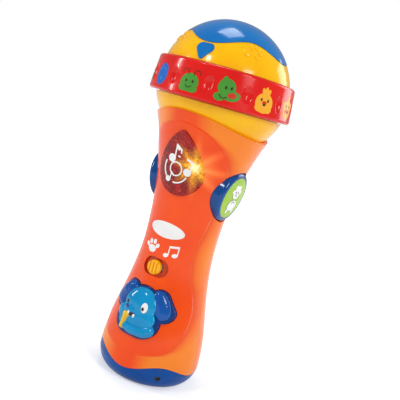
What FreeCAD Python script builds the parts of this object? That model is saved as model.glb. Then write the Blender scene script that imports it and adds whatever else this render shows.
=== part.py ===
import FreeCAD, Part
import math
import os
from FreeCAD import Vector

# Toy microphone for a small child, in millimetres.
# Frame: origin at the centre of the flat base, +Z up the handle to the head, -Y the front (lens and
# puppy button), +X the right-hand side button.

# ---- handle outline: height and radius at each station, from the belly to the flared collar
BASE_FLAT_R = 22.0
BELLY_Z = 13.0
BELLY_R = 31.7
HIP_Z = 32.0
HIP_R = 29.9
THIGH_Z = 52.0
THIGH_R = 25.9
GRIP_Z = 70.0
GRIP_R = 23.1
WAIST_Z = 90.0
WAIST_R = 22.1
CHEST_Z = 112.0
CHEST_R = 23.3
SHOULDER_Z = 133.7
SHOULDER_R = 26.8
FLARE_Z = 151.8
FLARE_R = 31.9
COLLAR_Z = 157.8
COLLAR_R = 33.9
COLLAR_END_Z = 166.0
COLLAR_END_R = 37.6
WALL = 2.2

# ---- wavy edges of the base cap and of the head cap: four low points, the first at the front
WAVES = 4
WAVE_POINTS = 32
BASE_WAVE_Z = 12.8
BASE_WAVE_SWING = 2.9
CAP_WAVE_Z = 206.4
CAP_WAVE_SWING = 2.9
EDGE_GAP = 0.15

# ---- base cap
BASE_WALL = 2.4
SKIRT_WALL = 1.7
SKIRT_LOW_Z = 5.0
SKIRT_TOP_Z = 24.0
BASE_SCREW_ANGLE = 43.0
BASE_SCREW_Z = 8.7
BASE_SCREW_HEAD_R = 1.7
BASE_SCREW_SINK = 0.6
BASE_SCREW_HEAD = 1.0
BASE_SCREW_R = 0.9
BASE_SCREW_LENGTH = 6.5
BASE_SOCKET_R = 0.7
BASE_SOCKET = 0.6
BASE_PILOT_START = 15.0

# ---- collar edge: high at the front and back, low at the sides
COLLAR_FRONT_Z = 164.6
COLLAR_DIP = 7.6

# ---- raised front panel: height and half width of its outline, from the foot to the crown
PANEL_RISE = 0.45
PANEL_FOOT_Z = 19.8
PANEL_CROWN_Z = 158.0
PANEL_EDGE = [
    (24.0, 19.5),
    (32.0, 25.0),
    (42.0, 25.8),
    (58.0, 23.0),
    (72.0, 18.9),
    (85.0, 17.6),
    (98.0, 19.2),
    (112.0, 21.0),
    (130.0, 23.0),
    (142.0, 23.6),
    (152.0, 17.5),
]

# ---- head
HEAD_Z = 183.0
DOME_R = 38.8
BOWL_STEP = 1.4
BOWL_R = DOME_R + BOWL_STEP
HEAD_WALL = 2.2
CAP_RAISE = 0.3
CAP_THICK = 1.6
RING_LOW_Z = 171.5
RING_HIGH_Z = 192.2
RING_PROUD_LOW = 4.2
RING_PROUD_HIGH = 2.2
RING_LOW_R = DOME_R + RING_PROUD_LOW
RING_HIGH_R = DOME_R + RING_PROUD_HIGH
RING_ROUND = 1.6
TRACK_STEP = 2.2
TRACK_R = DOME_R - TRACK_STEP
TRACK_WALL = 2.0
RUN_GAP = 0.35
PICTURES = 12
SCOOP_R = 4.2
SCOOP_HALF_HEIGHT = 7.5
SCOOP_DEPTH = 1.5
NOTCH_R = 1.5
NOTCH_DEPTH = 0.8
NECK_WALL = 2.0
NECK_LOW_Z = 148.6
NECK_FLANGE_THICK = 2.0
BOWL_FLOOR_Z = 155.2
BOWL_FLOOR = 2.0
BOWL_FLOOR_R = math.sqrt(BOWL_R ** 2 - (HEAD_Z - BOWL_FLOOR_Z) ** 2)
NECK_STEP = 4.0
NECK_R = BOWL_FLOOR_R - NECK_STEP
WIRE_HOLE_INSET = 9.0
SPIGOT_DEPTH = 6.0
DROP_Z = 198.0
DROP_HALF_WIDTH = 5.2
DROP_HEIGHT = 9.6
DROP_TIP_R = 1.6
HEAD_POST_INSET = 7.0
HEAD_POST_RING_R = BOWL_FLOOR_R - HEAD_POST_INSET
HEAD_POST_R = 3.4
HEAD_POSTS = 3
HEAD_SCREW_SEAT_Z = 182.0
HEAD_SCREW_REACH = 15.0
CAP_PEG_RING_R = 12.0
CAP_PEG_R = 1.5
CAP_PEG_LENGTH = 4.0
CLICK_WINDOW_WIDTH = 9.0
CLICK_WINDOW_HEIGHT = 7.0
CLICK_THICK = 0.8
SENSOR_HALF_WIDTH = 7.0
SENSOR_LOW = 7.0
SENSOR_HIGH = 1.5

# ---- lens and its light
LENS_BELLY_R = 14.6
LENS_BELLY_Z = 130.8
LENS_TIP_R = 2.6
LENS_TIP_Z = 151.1
LENS_SIDE_R = 34.0
LENS_RISE = 1.5
LENS_THICK = 1.6
LENS_FLANGE = 1.4
LENS_FLANGE_THICK = 1.0
LED_R = 2.5
LED_X = 5.0
LED_Z = 129.0
LED_LENGTH = 6.0
LIGHT_BOX_R = 9.2
LIGHT_BOX_WALL = 1.0
LIGHT_BOX_RISE = 6.0

# ---- mode switch
SWITCH_X = 0.0
SWITCH_Z = 71.5
RECESS_HALF_WIDTH = 8.3
RECESS_HALF_HEIGHT = 5.4
RECESS_DEPTH = 1.3
KNOB_R = 4.4
KNOB_RISE = 2.2
KNOB_RIBS = 3
KNOB_TRAVEL = 3.0
STEM_HALF_WIDTH = 1.3
STEM_HALF_HEIGHT = 2.0
STEM_IN_KNOB = 1.5
RIB_PITCH = 2.2
RIB_HALF_WIDTH = 0.4
RIB_HALF_HEIGHT = 3.2
RIB_DEPTH = 0.6
KNOB_ROUND = 1.2
SLIDER_HALF_WIDTH = 3.5
SLIDER_HALF_HEIGHT = 4.5
SLIDER_THICK = 1.2
PEG_HALF = 1.0
PEG_IN_SWITCH = 1.2
SWITCH_HALF_WIDTH = 6.0
SWITCH_HALF_HEIGHT = 3.0
SWITCH_BODY = 5.0
SWITCH_GROOVE_HALF = 1.4
SWITCH_GROOVE_DEPTH = 2.0

# ---- puppy button
PUPPY_Z = 45.6
PUPPY_RISE = 4.6
PUPPY_BASE_RISE = 1.6
PUPPY_TRAVEL = 2.0
PUPPY_HEAD_R = 11.4
PUPPY_HEAD_UP = 2.6
PUPPY_CHEEK_R = 9.2
PUPPY_CHEEK_OUT = 5.2
PUPPY_CHEEK_DOWN = 6.6
PUPPY_EAR_R = 5.6
PUPPY_EAR_TOP_OUT = 9.4
PUPPY_EAR_TOP_UP = 9.0
PUPPY_EAR_TIP_OUT = 14.2
PUPPY_EAR_TIP_UP = 1.6
PUPPY_INNER_Y = -15.5
PUPPY_FLANGE = 1.4
PUPPY_SKIRT_WALL = 1.6
PUPPY_TOP_WALL = 2.0
PUPPY_STEP = 0.6
PUPPY_TAB_HALF = 6.0
PUPPY_TAB_TOP = 16.6
PUPPY_TAB_FOOT = 18.4
PUPPY_TAB_Y = -15.0
PUPPY_TAB_INSET = 3.5
PUPPY_PLUNGER_R = 3.0
PUPPY_PLUNGER = 1.5
PAD_R = 4.0

# ---- round side buttons, leaning with the flare of the handle
BUTTON_Z = 122.0
BUTTON_FACE = 25.8
BUTTON_LEAN = 9.0
BUTTON_R = 16.0
BUTTON_DEPTH = 9.0
BUTTON_ROUND = 2.6
BUTTON_TRAVEL = 1.6
DISC_R = 12.9
DISC_SINK = 1.0
DISC_RISE = 0.9
TAB_HALF_WIDTH = 8.0
TAB_REACH = 1.4
TAB_THICK = 1.4
BUTTON_WALL = 1.8
BUTTON_ROOF = 3.0
BUTTON_PLUNGER_R = 3.0

# ---- clearances
SLIDE_GAP = 0.35
SEAT_GAP = 0.1
SCREW_GAP = 0.1

# ---- screws that close the handle
SCREW_R = 1.35
SCREW_HEAD_R = 2.5
SCREW_HEAD_THICK = 1.8
SCREW_SOCKET_R = 0.8
SCREW_SOCKET = 1.0
BOSS_R = 3.2
BOSS_LOW = (12.5, 93.5)
BOSS_HIGH = (18.0, 144.5)
SCREW_SEAT_Y = 6.0
SCREW_REACH_Y = -8.0

# ---- circuit boards
BOARD_Y = -7.0
BOARD_THICK = 1.6
BOARD_HALF_WIDTH = 9.0
BOARD_LOW_Z = 37.0
BOARD_HIGH_Z = 146.0
BOARD_SCREW_ZS = (82.0, 106.0)
BOARD_BOSS_R = 2.4
BOARD_SCREW_R = 1.0
BOARD_SCREW_HEAD_R = 2.0
BOARD_SCREW_HEAD = 1.5
BOARD_SCREW_REACH = 4.0
CHIP_Z = 92.0
CHIP_BLOB_R = 14.0
CHIP_BLOB_SINK = 12.0
SIDE_BOARD_X = 11.0
SIDE_BOARD_THICK = 1.2
SIDE_BOARD_HALF_WIDTH = 8.5
SIDE_BOARD_HALF_HEIGHT = 10.0

# ---- speaker
SPEAKER_R = 14.0
SPEAKER_Z = 133.0
SPEAKER_Y = 13.0
SPEAKER_DEPTH = 5.3
SPEAKER_RIM = 1.6
SPEAKER_RIM_WIDTH = 1.2
SPEAKER_BASKET = 2.2
MAGNET_R = 7.5
CONE_R = 4.0
CONE_DEPTH = 1.2
BRACKET_THICK = 1.2
BRACKET_EDGE = 0.6
GRILLE_SLOTS = 5
GRILLE_PITCH = 3.6
GRILLE_SLOT = 1.6
GRILLE_HALF_WIDTH = 9.5

# ---- batteries
CELL_R = 7.25
CELL_LENGTH = 50.5
CELL_SIDE_GAP = 0.25
CELL_X = CELL_R + CELL_SIDE_GAP
CELL_CAP = 1.0
CELL_NIB_R = 2.7
CELL_FLAT_R = 6.0
CELL_FLAT = 0.45
CELL_Y = 8.8
CELL_LOW_Z = 28.0
CONTACT_ROOM = 2.2
CONTACT_THICK = 0.5
CONTACT_HALF = 5.5
CONTACT_REAR = 4.0
CONTACT_COIL_R = 3.2
CONTACT_COIL_BORE = 2.6
CONTACT_BUMP_R = 3.0
TRAY_WALL = 0.9
TRAY_SIDE_GAP = 0.25
TRAY_RIM_Y = 8.5
DOOR_HALF_WIDTH = 14.5
DOOR_THICK = 2.0
DOOR_ROUND = 4.0
DOOR_LEDGE = 1.3
DOOR_SCREW_BOSS_R = 3.0
DOOR_MARGIN = 4.4
DOOR_SCREW_HEAD_R = 2.4
DOOR_SCREW_HEAD = 1.0
DOOR_SCREW_LENGTH = 8.0
DOOR_SCREW_SINK = 0.8
DOOR_SLOT_HALF = 1.6
DOOR_SLOT_HALF_WIDTH = 0.3
DOOR_SLOT_DEPTH = 0.5
DOOR_BOSS_DROP = 1.2
DOOR_OVERHANG = 1.0
DOOR_LEDGE_BACK = 1.2
DOOR_LEDGE_ROOM = 2.2
GRIP_RIDGES = 4
GRIP_RIDGE_PITCH = 3.0
GRIP_RIDGE_HALF = 7.0
GRIP_RIDGE_R = 0.6
GRIP_RIDGE_DEPTH = 0.7
GRIP_RIDGE_UP = 11.0

Z_AXIS = Vector(0, 0, 1)
Y_AXIS = Vector(0, 1, 0)
X_AXIS = Vector(1, 0, 0)
FAR = 60.0
ABOVE = 260.0
EPS = 0.05


# ---------------------------------------------------------------- shared outlines
def handle_solid(grow):
    """The handle's outer form, grown outwards by `grow`, from its base to the collar's end."""
    stations = [
        (BELLY_Z, BELLY_R),
        (HIP_Z, HIP_R),
        (THIGH_Z, THIGH_R),
        (GRIP_Z, GRIP_R),
        (WAIST_Z, WAIST_R),
        (CHEST_Z, CHEST_R),
        (SHOULDER_Z, SHOULDER_R),
        (FLARE_Z, FLARE_R),
        (COLLAR_Z, COLLAR_R),
        (COLLAR_END_Z, COLLAR_END_R),
    ]
    points = [Vector(r + grow, 0, z) for z, r in stations]
    side = Part.BSplineCurve()
    side.interpolate(Points=points, InitialTangent=Z_AXIS, FinalTangent=Vector(0.45, 0, 1))
    low = -grow
    corner_points = []
    for step in range(7):
        angle = math.radians(90 * step / 6)
        r = BASE_FLAT_R + (BELLY_R + grow - BASE_FLAT_R) * math.sin(angle)
        z = BELLY_Z - (BELLY_Z - low) * math.cos(angle)
        corner_points.append(Vector(r, 0, z))
    corner = Part.BSplineCurve()
    corner.interpolate(Points=corner_points, InitialTangent=X_AXIS, FinalTangent=Z_AXIS)
    end_low = Vector(0, 0, low)
    end_high = Vector(0, 0, COLLAR_END_Z)
    edges = [
        Part.makeLine(end_low, corner_points[0]),
        corner.toShape(),
        side.toShape(),
        Part.makeLine(points[-1], end_high),
        Part.makeLine(end_high, end_low),
    ]
    return Part.Face(Part.Wire(edges)).revolve(Vector(), Z_AXIS, 360)


def handle_radius(z):
    """Outer radius of the handle at height z."""
    line = Part.makeLine(Vector(0, 0, z), Vector(FAR, 0, z))
    return HANDLE.common(line).BoundBox.XMax


def wave_curve(radius, level, swing):
    points = []
    for step in range(WAVE_POINTS):
        angle = 2 * math.pi * step / WAVE_POINTS
        height = level - swing * math.cos(WAVES * angle)
        points.append(Vector(radius * math.sin(angle), -radius * math.cos(angle), height))
    curve = Part.BSplineCurve()
    curve.interpolate(Points=points, PeriodicFlag=True)
    return curve.toShape()


def wave_body(level, swing, flat_z, inner_r):
    """Everything between the wavy level and the plane z = flat_z."""
    wave_in = wave_curve(inner_r, level, swing)
    wave_out = wave_curve(FAR, level, swing)
    flat_in = wave_curve(inner_r, flat_z, 0)
    flat_out = wave_curve(FAR, flat_z, 0)
    faces = [
        Part.makeRuledSurface(wave_in, wave_out),
        Part.makeRuledSurface(wave_out, flat_out),
        Part.makeRuledSurface(wave_in, flat_in),
        Part.makeRuledSurface(flat_in, flat_out),
    ]
    shell = Part.makeShell(faces)
    shell.sewShape()
    ring = Part.makeSolid(shell)
    if ring.Volume < 0:
        ring.reverse()
    inner_top = level + swing if flat_z < level else flat_z
    inner_low = flat_z if flat_z < level else level - swing
    core = Part.makeCylinder(inner_r + EPS, inner_top - inner_low, Vector(0, 0, inner_low))
    return ring.fuse(core)


def box(x0, x1, y0, y1, z0, z1):
    return Part.makeBox(x1 - x0, y1 - y0, z1 - z0, Vector(x0, y0, z0))


def rod_y(r, x, z, y0, y1):
    return Part.makeCylinder(r, y1 - y0, Vector(x, y0, z), Y_AXIS)


def rod_z(r, x, y, z0, z1):
    return Part.makeCylinder(r, z1 - z0, Vector(x, y, z0), Z_AXIS)


def prism_y(wire, y0, y1):
    """A flat outline in the X-Z plane, pushed through from y0 to y1."""
    face = Part.Face(wire)
    face.translate(Vector(0, y0, 0))
    return face.extrude(Vector(0, y1 - y0, 0))


def fuse_all(shapes):
    whole = shapes[0]
    for shape in shapes[1:]:
        whole = whole.fuse(shape)
    return whole.removeSplitter()


def capsule(x0, z0, x1, z1, r, y0, y1):
    """A round-ended bar outline between two points of the X-Z plane, pushed from y0 to y1."""
    along = Vector(x1 - x0, 0, z1 - z0)
    length = along.Length
    side = Vector(-along.z, 0, along.x) * (r / length)
    a = Vector(x0, 0, z0)
    b = Vector(x1, 0, z1)
    tip = along * (r / length)
    edges = [
        Part.makeLine(a + side, b + side),
        Part.Arc(b + side, b + tip, b - side).toShape(),
        Part.makeLine(b - side, a - side),
        Part.Arc(a - side, a - tip, a + side).toShape(),
    ]
    return prism_y(Part.Wire(edges), y0, y1)


def teardrop(low_r, low_z, tip_r, tip_z, side_r, grow):
    """A drop standing on its round end: two circles joined by side arcs that touch both."""
    low_r = low_r + grow
    tip_r = tip_r + grow
    side_r = side_r + grow
    rise = tip_z - low_z
    from_low = side_r - low_r
    from_tip = side_r - tip_r
    up = (rise * rise + from_low * from_low - from_tip * from_tip) / (2 * rise)
    out = math.sqrt(from_low * from_low - up * up)
    centre = Vector(-out, 0, low_z + up)
    low_centre = Vector(0, 0, low_z)
    tip_centre = Vector(0, 0, tip_z)
    low_touch = centre + (low_centre - centre).normalize() * side_r
    tip_touch = centre + (tip_centre - centre).normalize() * side_r
    mid_way = centre + ((low_touch + tip_touch) * 0.5 - centre).normalize() * side_r
    edges = [
        Part.Arc(low_touch, mid_way, tip_touch).toShape(),
        Part.Arc(tip_touch, Vector(0, 0, tip_z + tip_r), mirror_x(tip_touch)).toShape(),
        Part.Arc(mirror_x(tip_touch), mirror_x(mid_way), mirror_x(low_touch)).toShape(),
        Part.Arc(mirror_x(low_touch), Vector(0, 0, low_z - low_r), low_touch).toShape(),
    ]
    return Part.Wire(edges)


def mirror_x(point):
    return Vector(-point.x, point.y, point.z)


def lens_prism(grow, y0, y1):
    wire = teardrop(LENS_BELLY_R, LENS_BELLY_Z, LENS_TIP_R, LENS_TIP_Z, LENS_SIDE_R, grow)
    return prism_y(wire, y0, y1)


def rounded_box_y(half_width, z0, z1, r, y0, y1):
    body = box(-half_width, half_width, y0, y1, z0, z1)
    upright = [e for e in body.Edges if abs(abs(e.tangentAt(0).y) - 1) < EPS]
    return body.makeFillet(r, upright)


HANDLE = handle_solid(0)


def head_sphere(r):
    return Part.makeSphere(r, Vector(0, 0, HEAD_Z))


def tray_low_z():
    return CELL_LOW_Z - CONTACT_ROOM - TRAY_WALL


def tray_high_z():
    return CELL_LOW_Z + CELL_LENGTH + CONTACT_ROOM + TRAY_WALL


def door_screw_z():
    return tray_high_z() + DOOR_SCREW_BOSS_R - DOOR_SCREW_SINK


def lean_button(shape, side):
    """Tips a button, modelled square to +X at the handle's axis, to the flare; side is 1 or -1."""
    leaned = shape.copy()
    leaned.rotate(Vector(BUTTON_FACE, 0, BUTTON_Z), Y_AXIS, BUTTON_LEAN)
    if side < 0:
        leaned = leaned.mirror(Vector(), X_AXIS)
    return leaned


def disc_x(r, x0, x1):
    return Part.makeCylinder(r, x1 - x0, Vector(x0, 0, BUTTON_Z), X_AXIS)


# ---------------------------------------------------------------- handle
def base_screw_axis(angle):
    turn = math.radians(angle)
    return Vector(math.sin(turn), -math.cos(turn), 0)


def base_screw_angles():
    return [BASE_SCREW_ANGLE, BASE_SCREW_ANGLE + 180]


def make_base_cap():
    low_part = wave_body(BASE_WAVE_Z, BASE_WAVE_SWING, -FAR, BASE_FLAT_R / 2)
    cavity = handle_solid(-BASE_WALL)
    cap = HANDLE.common(low_part).cut(cavity)
    seat = handle_radius(BASE_SCREW_Z) - BASE_SCREW_SINK
    for angle in base_screw_angles():
        axis = base_screw_axis(angle)
        lift = Vector(0, 0, BASE_SCREW_Z)
        under_head = seat - BASE_SCREW_HEAD - EPS
        sink_r = BASE_SCREW_HEAD_R + SCREW_GAP
        cap = cap.cut(Part.makeCylinder(sink_r, FAR, axis * under_head + lift, axis))
        cap = cap.cut(base_screw_pilot(angle))
    return cap


def base_screw_pilot(angle):
    axis = base_screw_axis(angle)
    start = axis * BASE_PILOT_START + Vector(0, 0, BASE_SCREW_Z)
    return Part.makeCylinder(BASE_SCREW_R + SCREW_GAP, FAR, start, axis)


def make_base_screws():
    screws = []
    seat = handle_radius(BASE_SCREW_Z) - BASE_SCREW_SINK
    for angle in base_screw_angles():
        axis = base_screw_axis(angle)
        lift = Vector(0, 0, BASE_SCREW_Z)
        under_head = seat - BASE_SCREW_HEAD
        foot = axis * under_head + lift
        head = Part.makeCylinder(BASE_SCREW_HEAD_R, BASE_SCREW_HEAD, foot, axis)
        socket = Part.makeCylinder(BASE_SOCKET_R, FAR, axis * (seat - BASE_SOCKET) + lift, axis)
        tip = axis * (seat - BASE_SCREW_LENGTH) + lift
        shank_length = BASE_SCREW_LENGTH - BASE_SCREW_HEAD + EPS
        shank = Part.makeCylinder(BASE_SCREW_R, shank_length, tip, axis)
        screws.append(head.fuse(shank).cut(socket))
    return Part.makeCompound(screws)


def shell_blank():
    """The whole handle shell, front and rear in one, before it is split."""
    above = wave_body(BASE_WAVE_Z + EDGE_GAP, BASE_WAVE_SWING, ABOVE, BASE_FLAT_R / 2)
    outer = HANDLE.common(above)
    skirt_outer = handle_solid(-BASE_WALL - EDGE_GAP)
    skirt_room = box(-FAR, FAR, -FAR, FAR, SKIRT_LOW_Z, SKIRT_TOP_Z)
    outer = outer.fuse(skirt_outer.common(skirt_room))
    thin = handle_solid(-WALL)
    thin = thin.common(box(-FAR, FAR, -FAR, FAR, SKIRT_TOP_Z, ABOVE))
    thick = handle_solid(-BASE_WALL - EDGE_GAP - SKIRT_WALL)
    thick = thick.common(box(-FAR, FAR, -FAR, FAR, 0, SKIRT_TOP_Z + EPS))
    blank = outer.cut(thin).cut(thick)
    arc_r = (COLLAR_R * COLLAR_R + COLLAR_DIP * COLLAR_DIP) / (2 * COLLAR_DIP)
    crown = Part.makeCylinder(arc_r, 2 * FAR, Vector(0, -FAR, COLLAR_FRONT_Z - arc_r), Y_AXIS)
    above_collar = box(-FAR, FAR, -FAR, FAR, FLARE_Z, ABOVE).cut(crown)
    blank = blank.cut(above_collar)
    blank = blank.cut(head_sphere(BOWL_R + SLIDE_GAP))
    shelf_z0 = NECK_LOW_Z + NECK_FLANGE_THICK + SLIDE_GAP
    shelf_z1 = BOWL_FLOOR_Z - SLIDE_GAP
    shelf = rod_z(FLARE_R, 0, 0, shelf_z0, shelf_z1).cut(rod_z(NECK_R + SLIDE_GAP, 0, 0, 0, ABOVE))
    shelf = shelf.common(handle_solid(-WALL + EPS))
    return blank.fuse(shelf)


def side_holes():
    holes = []
    for side in (1, -1):
        holes.append(lean_button(disc_x(BUTTON_R + SLIDE_GAP, 12.0, FAR), side))
    return holes[0].fuse(holes[1])


def boss_places():
    places = []
    for x, z in (BOSS_LOW, BOSS_HIGH):
        places.append((x, z))
        places.append((-x, z))
    return places


def panel_solid():
    right = [Vector(w, 0, z) for z, w in PANEL_EDGE]
    left = [mirror_x(p) for p in reversed(right)]
    points = [Vector(0, 0, PANEL_FOOT_Z)] + right + [Vector(0, 0, PANEL_CROWN_Z)] + left
    edge = Part.BSplineCurve()
    edge.interpolate(Points=points, PeriodicFlag=True)
    prism = prism_y(Part.Wire([edge.toShape()]), -FAR, -1.5)
    return handle_solid(PANEL_RISE).cut(handle_solid(-EPS)).common(prism)


def recess_prism(grow, y0, y1):
    half = RECESS_HALF_WIDTH - RECESS_HALF_HEIGHT
    x0 = SWITCH_X - half
    x1 = SWITCH_X + half
    return capsule(x0, SWITCH_Z, x1, SWITCH_Z, RECESS_HALF_HEIGHT + grow, y0, y1)


def switch_surface_y():
    return -(handle_radius(SWITCH_Z) + PANEL_RISE)


def make_front_shell():
    half = shell_blank().common(box(-FAR, FAR, -FAR, -EPS, -1, ABOVE))
    half = half.fuse(panel_solid())
    half = half.cut(side_holes())
    half = half.cut(lens_prism(SEAT_GAP, -FAR, -10))
    half = half.cut(lens_prism(LENS_FLANGE + SEAT_GAP, -FAR, -10).common(handle_solid(-WALL)))
    half = half.cut(puppy_outline(SLIDE_GAP, -FAR, -10))
    floor = handle_solid(PANEL_RISE - RECESS_DEPTH)
    half = half.cut(recess_prism(0, -FAR, -10).cut(floor))
    slot_x = STEM_HALF_WIDTH + KNOB_TRAVEL + SLIDE_GAP
    slot_z = STEM_HALF_HEIGHT + SLIDE_GAP
    slot = box(-slot_x, slot_x, -FAR, -10, -slot_z, slot_z)
    slot.translate(Vector(SWITCH_X, 0, SWITCH_Z))
    half = half.cut(slot)
    inside = handle_solid(-WALL + EPS)
    for x, z in boss_places():
        boss = rod_y(BOSS_R, x, z, -FAR, -SLIDE_GAP).common(inside)
        pilot = rod_y(SCREW_R + SCREW_GAP, x, z, SCREW_REACH_Y - 1, 0)
        half = half.fuse(boss).cut(pilot)
    for z in BOARD_SCREW_ZS:
        boss = rod_y(BOARD_BOSS_R, 0, z, -FAR, BOARD_Y - BOARD_THICK - SEAT_GAP).common(inside)
        pilot_y = BOARD_Y - BOARD_THICK - BOARD_SCREW_REACH - 1
        pilot = rod_y(BOARD_SCREW_R + SCREW_GAP, 0, z, pilot_y, 0)
        half = half.fuse(boss).cut(pilot)
    for angle in base_screw_angles():
        half = half.cut(base_screw_pilot(angle))
    return half.removeSplitter()


def door_prism(grow, y0, y1):
    half_width = DOOR_HALF_WIDTH + grow
    round_r = DOOR_ROUND + grow
    low_z = tray_low_z() - DOOR_OVERHANG - grow
    high_z = door_screw_z() + DOOR_MARGIN + grow
    return rounded_box_y(half_width, low_z, high_z, round_r, y0, y1)


def make_rear_shell():
    half = shell_blank().common(box(-FAR, FAR, EPS, FAR, -1, ABOVE))
    half = half.cut(side_holes())
    half = half.cut(door_prism(SLIDE_GAP, 2, FAR))
    behind = -DOOR_THICK - SEAT_GAP
    frame = handle_solid(behind).cut(handle_solid(behind - DOOR_LEDGE_BACK))
    frame = frame.common(door_prism(DOOR_LEDGE_ROOM, 4, FAR)).cut(door_prism(-DOOR_LEDGE, 2, FAR))
    half = half.fuse(frame)
    inside = handle_solid(-WALL + EPS)
    for x, z in boss_places():
        boss = rod_y(BOSS_R, x, z, SLIDE_GAP, FAR).common(inside)
        hole = rod_y(SCREW_R + SCREW_GAP, x, z, 0, FAR)
        sink = rod_y(SCREW_HEAD_R + SCREW_GAP, x, z, SCREW_SEAT_Y, FAR)
        half = half.fuse(boss).cut(hole).cut(sink)
    for row in range(GRILLE_SLOTS):
        offset = (row - (GRILLE_SLOTS - 1) / 2) * GRILLE_PITCH
        reach = math.sqrt(GRILLE_HALF_WIDTH ** 2 - offset ** 2) - GRILLE_SLOT / 2
        z = SPEAKER_Z + offset
        half = half.cut(capsule(-reach, z, reach, z, GRILLE_SLOT / 2, SPEAKER_Y, FAR))
    for angle in base_screw_angles():
        half = half.cut(base_screw_pilot(angle))
    return half.removeSplitter()


def make_case_screws():
    screws = []
    for x, z in boss_places():
        shank = rod_y(SCREW_R, x, z, SCREW_REACH_Y, SCREW_SEAT_Y + EPS)
        head = rod_y(SCREW_HEAD_R, x, z, SCREW_SEAT_Y + EPS, SCREW_SEAT_Y + SCREW_HEAD_THICK)
        socket = rod_y(SCREW_SOCKET_R, x, z, SCREW_SEAT_Y + SCREW_HEAD_THICK - SCREW_SOCKET, FAR)
        screws.append(shank.fuse(head).cut(socket))
    return Part.makeCompound(screws)


# ---------------------------------------------------------------- head
def head_post_places():
    places = []
    for k in range(HEAD_POSTS):
        turn = 2 * math.pi * (k + 0.5) / HEAD_POSTS
        places.append((HEAD_POST_RING_R * math.sin(turn), HEAD_POST_RING_R * math.cos(turn)))
    return places


def slab(z0, z1):
    return box(-FAR, FAR, -FAR, FAR, z0, z1)


def click_window(grow):
    half_width = CLICK_WINDOW_WIDTH / 2 + grow
    half_height = CLICK_WINDOW_HEIGHT / 2 + grow
    middle = (RING_LOW_Z + RING_HIGH_Z) / 2
    return box(-half_width, half_width, 25, TRACK_R + 1, middle - half_height, middle + half_height)


def neck_flange_r():
    """The flange under the shell's shelf, clear of the lens's rim inside the wall."""
    inside = handle_radius(NECK_LOW_Z) - WALL
    return inside - SEAT_GAP - LENS_FLANGE_THICK - SLIDE_GAP


def make_head_bowl():
    ledge_z = RING_LOW_Z - RUN_GAP
    outer = head_sphere(BOWL_R).common(slab(BOWL_FLOOR_Z, ledge_z))
    hollow = head_sphere(BOWL_R - HEAD_WALL).common(slab(BOWL_FLOOR_Z + BOWL_FLOOR, ledge_z - HEAD_WALL))
    track = rod_z(TRACK_R, 0, 0, ledge_z - HEAD_WALL, RING_HIGH_Z)
    bowl = outer.cut(hollow).fuse(track)
    bowl = bowl.cut(rod_z(TRACK_R - TRACK_WALL, 0, 0, ledge_z - HEAD_WALL - EPS, ABOVE))
    neck = rod_z(NECK_R, 0, 0, NECK_LOW_Z, BOWL_FLOOR_Z + EPS)
    flange = rod_z(neck_flange_r(), 0, 0, NECK_LOW_Z, NECK_LOW_Z + NECK_FLANGE_THICK)
    bowl = bowl.fuse(neck).fuse(flange)
    bowl = bowl.cut(rod_z(NECK_R - NECK_WALL, 0, 0, 0, BOWL_FLOOR_Z + EPS))
    wire_hole_r = NECK_R - NECK_WALL - WIRE_HOLE_INSET
    bowl = bowl.cut(rod_z(wire_hole_r, 0, 0, 0, BOWL_FLOOR_Z + BOWL_FLOOR + EPS))
    for x, y in head_post_places():
        bowl = bowl.fuse(rod_z(HEAD_POST_R, x, y, BOWL_FLOOR_Z + EPS, RING_HIGH_Z - 2))
        bowl = bowl.cut(rod_z(SCREW_HEAD_R + SCREW_GAP, x, y, 0, HEAD_SCREW_SEAT_Z))
        bowl = bowl.cut(rod_z(SCREW_R + SCREW_GAP, x, y, 0, ABOVE))
    bowl = bowl.cut(click_window(0))
    return bowl.removeSplitter()


def drop_prism(grow, side):
    low = DROP_Z - DROP_HEIGHT / 2 + DROP_TIP_R
    high = DROP_Z + DROP_HEIGHT / 2 - DROP_HALF_WIDTH * 0.55
    low_circle = (0, low, DROP_TIP_R)
    left = (-DROP_HALF_WIDTH * 0.45, high, DROP_HALF_WIDTH * 0.55)
    right = (DROP_HALF_WIDTH * 0.45, high, DROP_HALF_WIDTH * 0.55)
    y0, y1 = (-FAR, -5) if side < 0 else (5, FAR)
    parts = []
    for x, z, r in (low_circle, left, right):
        parts.append(rod_y(r + grow, x, z, y0, y1))
    parts.append(hull_bar(low_circle, left, grow, y0, y1))
    parts.append(hull_bar(low_circle, right, grow, y0, y1))
    parts.append(hull_bar(left, right, grow, y0, y1))
    core = [Vector(low_circle[0], 0, low), Vector(right[0], 0, high), Vector(left[0], 0, high)]
    parts.append(prism_y(Part.makePolygon(core + core[:1]), y0, y1))
    return fuse_all(parts)


def hull_bar(first, second, grow, y0, y1):
    """The straight-sided body between two circles of the X-Z plane, touching both."""
    ax, az, ar = first
    bx, bz, br = second
    ar = ar + grow
    br = br + grow
    span = math.hypot(bx - ax, bz - az)
    along = Vector((bx - ax) / span, 0, (bz - az) / span)
    across = Vector(-along.z, 0, along.x)
    lean = (ar - br) / span
    spread = math.sqrt(1 - lean * lean)
    corners = []
    for x, z, r, turn in ((ax, az, ar, 1), (bx, bz, br, 1), (bx, bz, br, -1), (ax, az, ar, -1)):
        corners.append(Vector(x, 0, z) + along * (r * lean) + across * (r * spread * turn))
    return prism_y(Part.makePolygon(corners + corners[:1]), y0, y1)


def make_head_drops():
    wall = head_sphere(DOME_R + CAP_RAISE).cut(head_sphere(DOME_R - CAP_THICK + SEAT_GAP))
    drops = [wall.common(drop_prism(-SEAT_GAP, side)) for side in (-1, 1)]
    return Part.makeCompound(drops)


def cap_peg_places():
    places = []
    for k in range(HEAD_POSTS):
        turn = 2 * math.pi * k / HEAD_POSTS
        places.append((CAP_PEG_RING_R * math.sin(turn), CAP_PEG_RING_R * math.cos(turn)))
    return places


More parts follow.
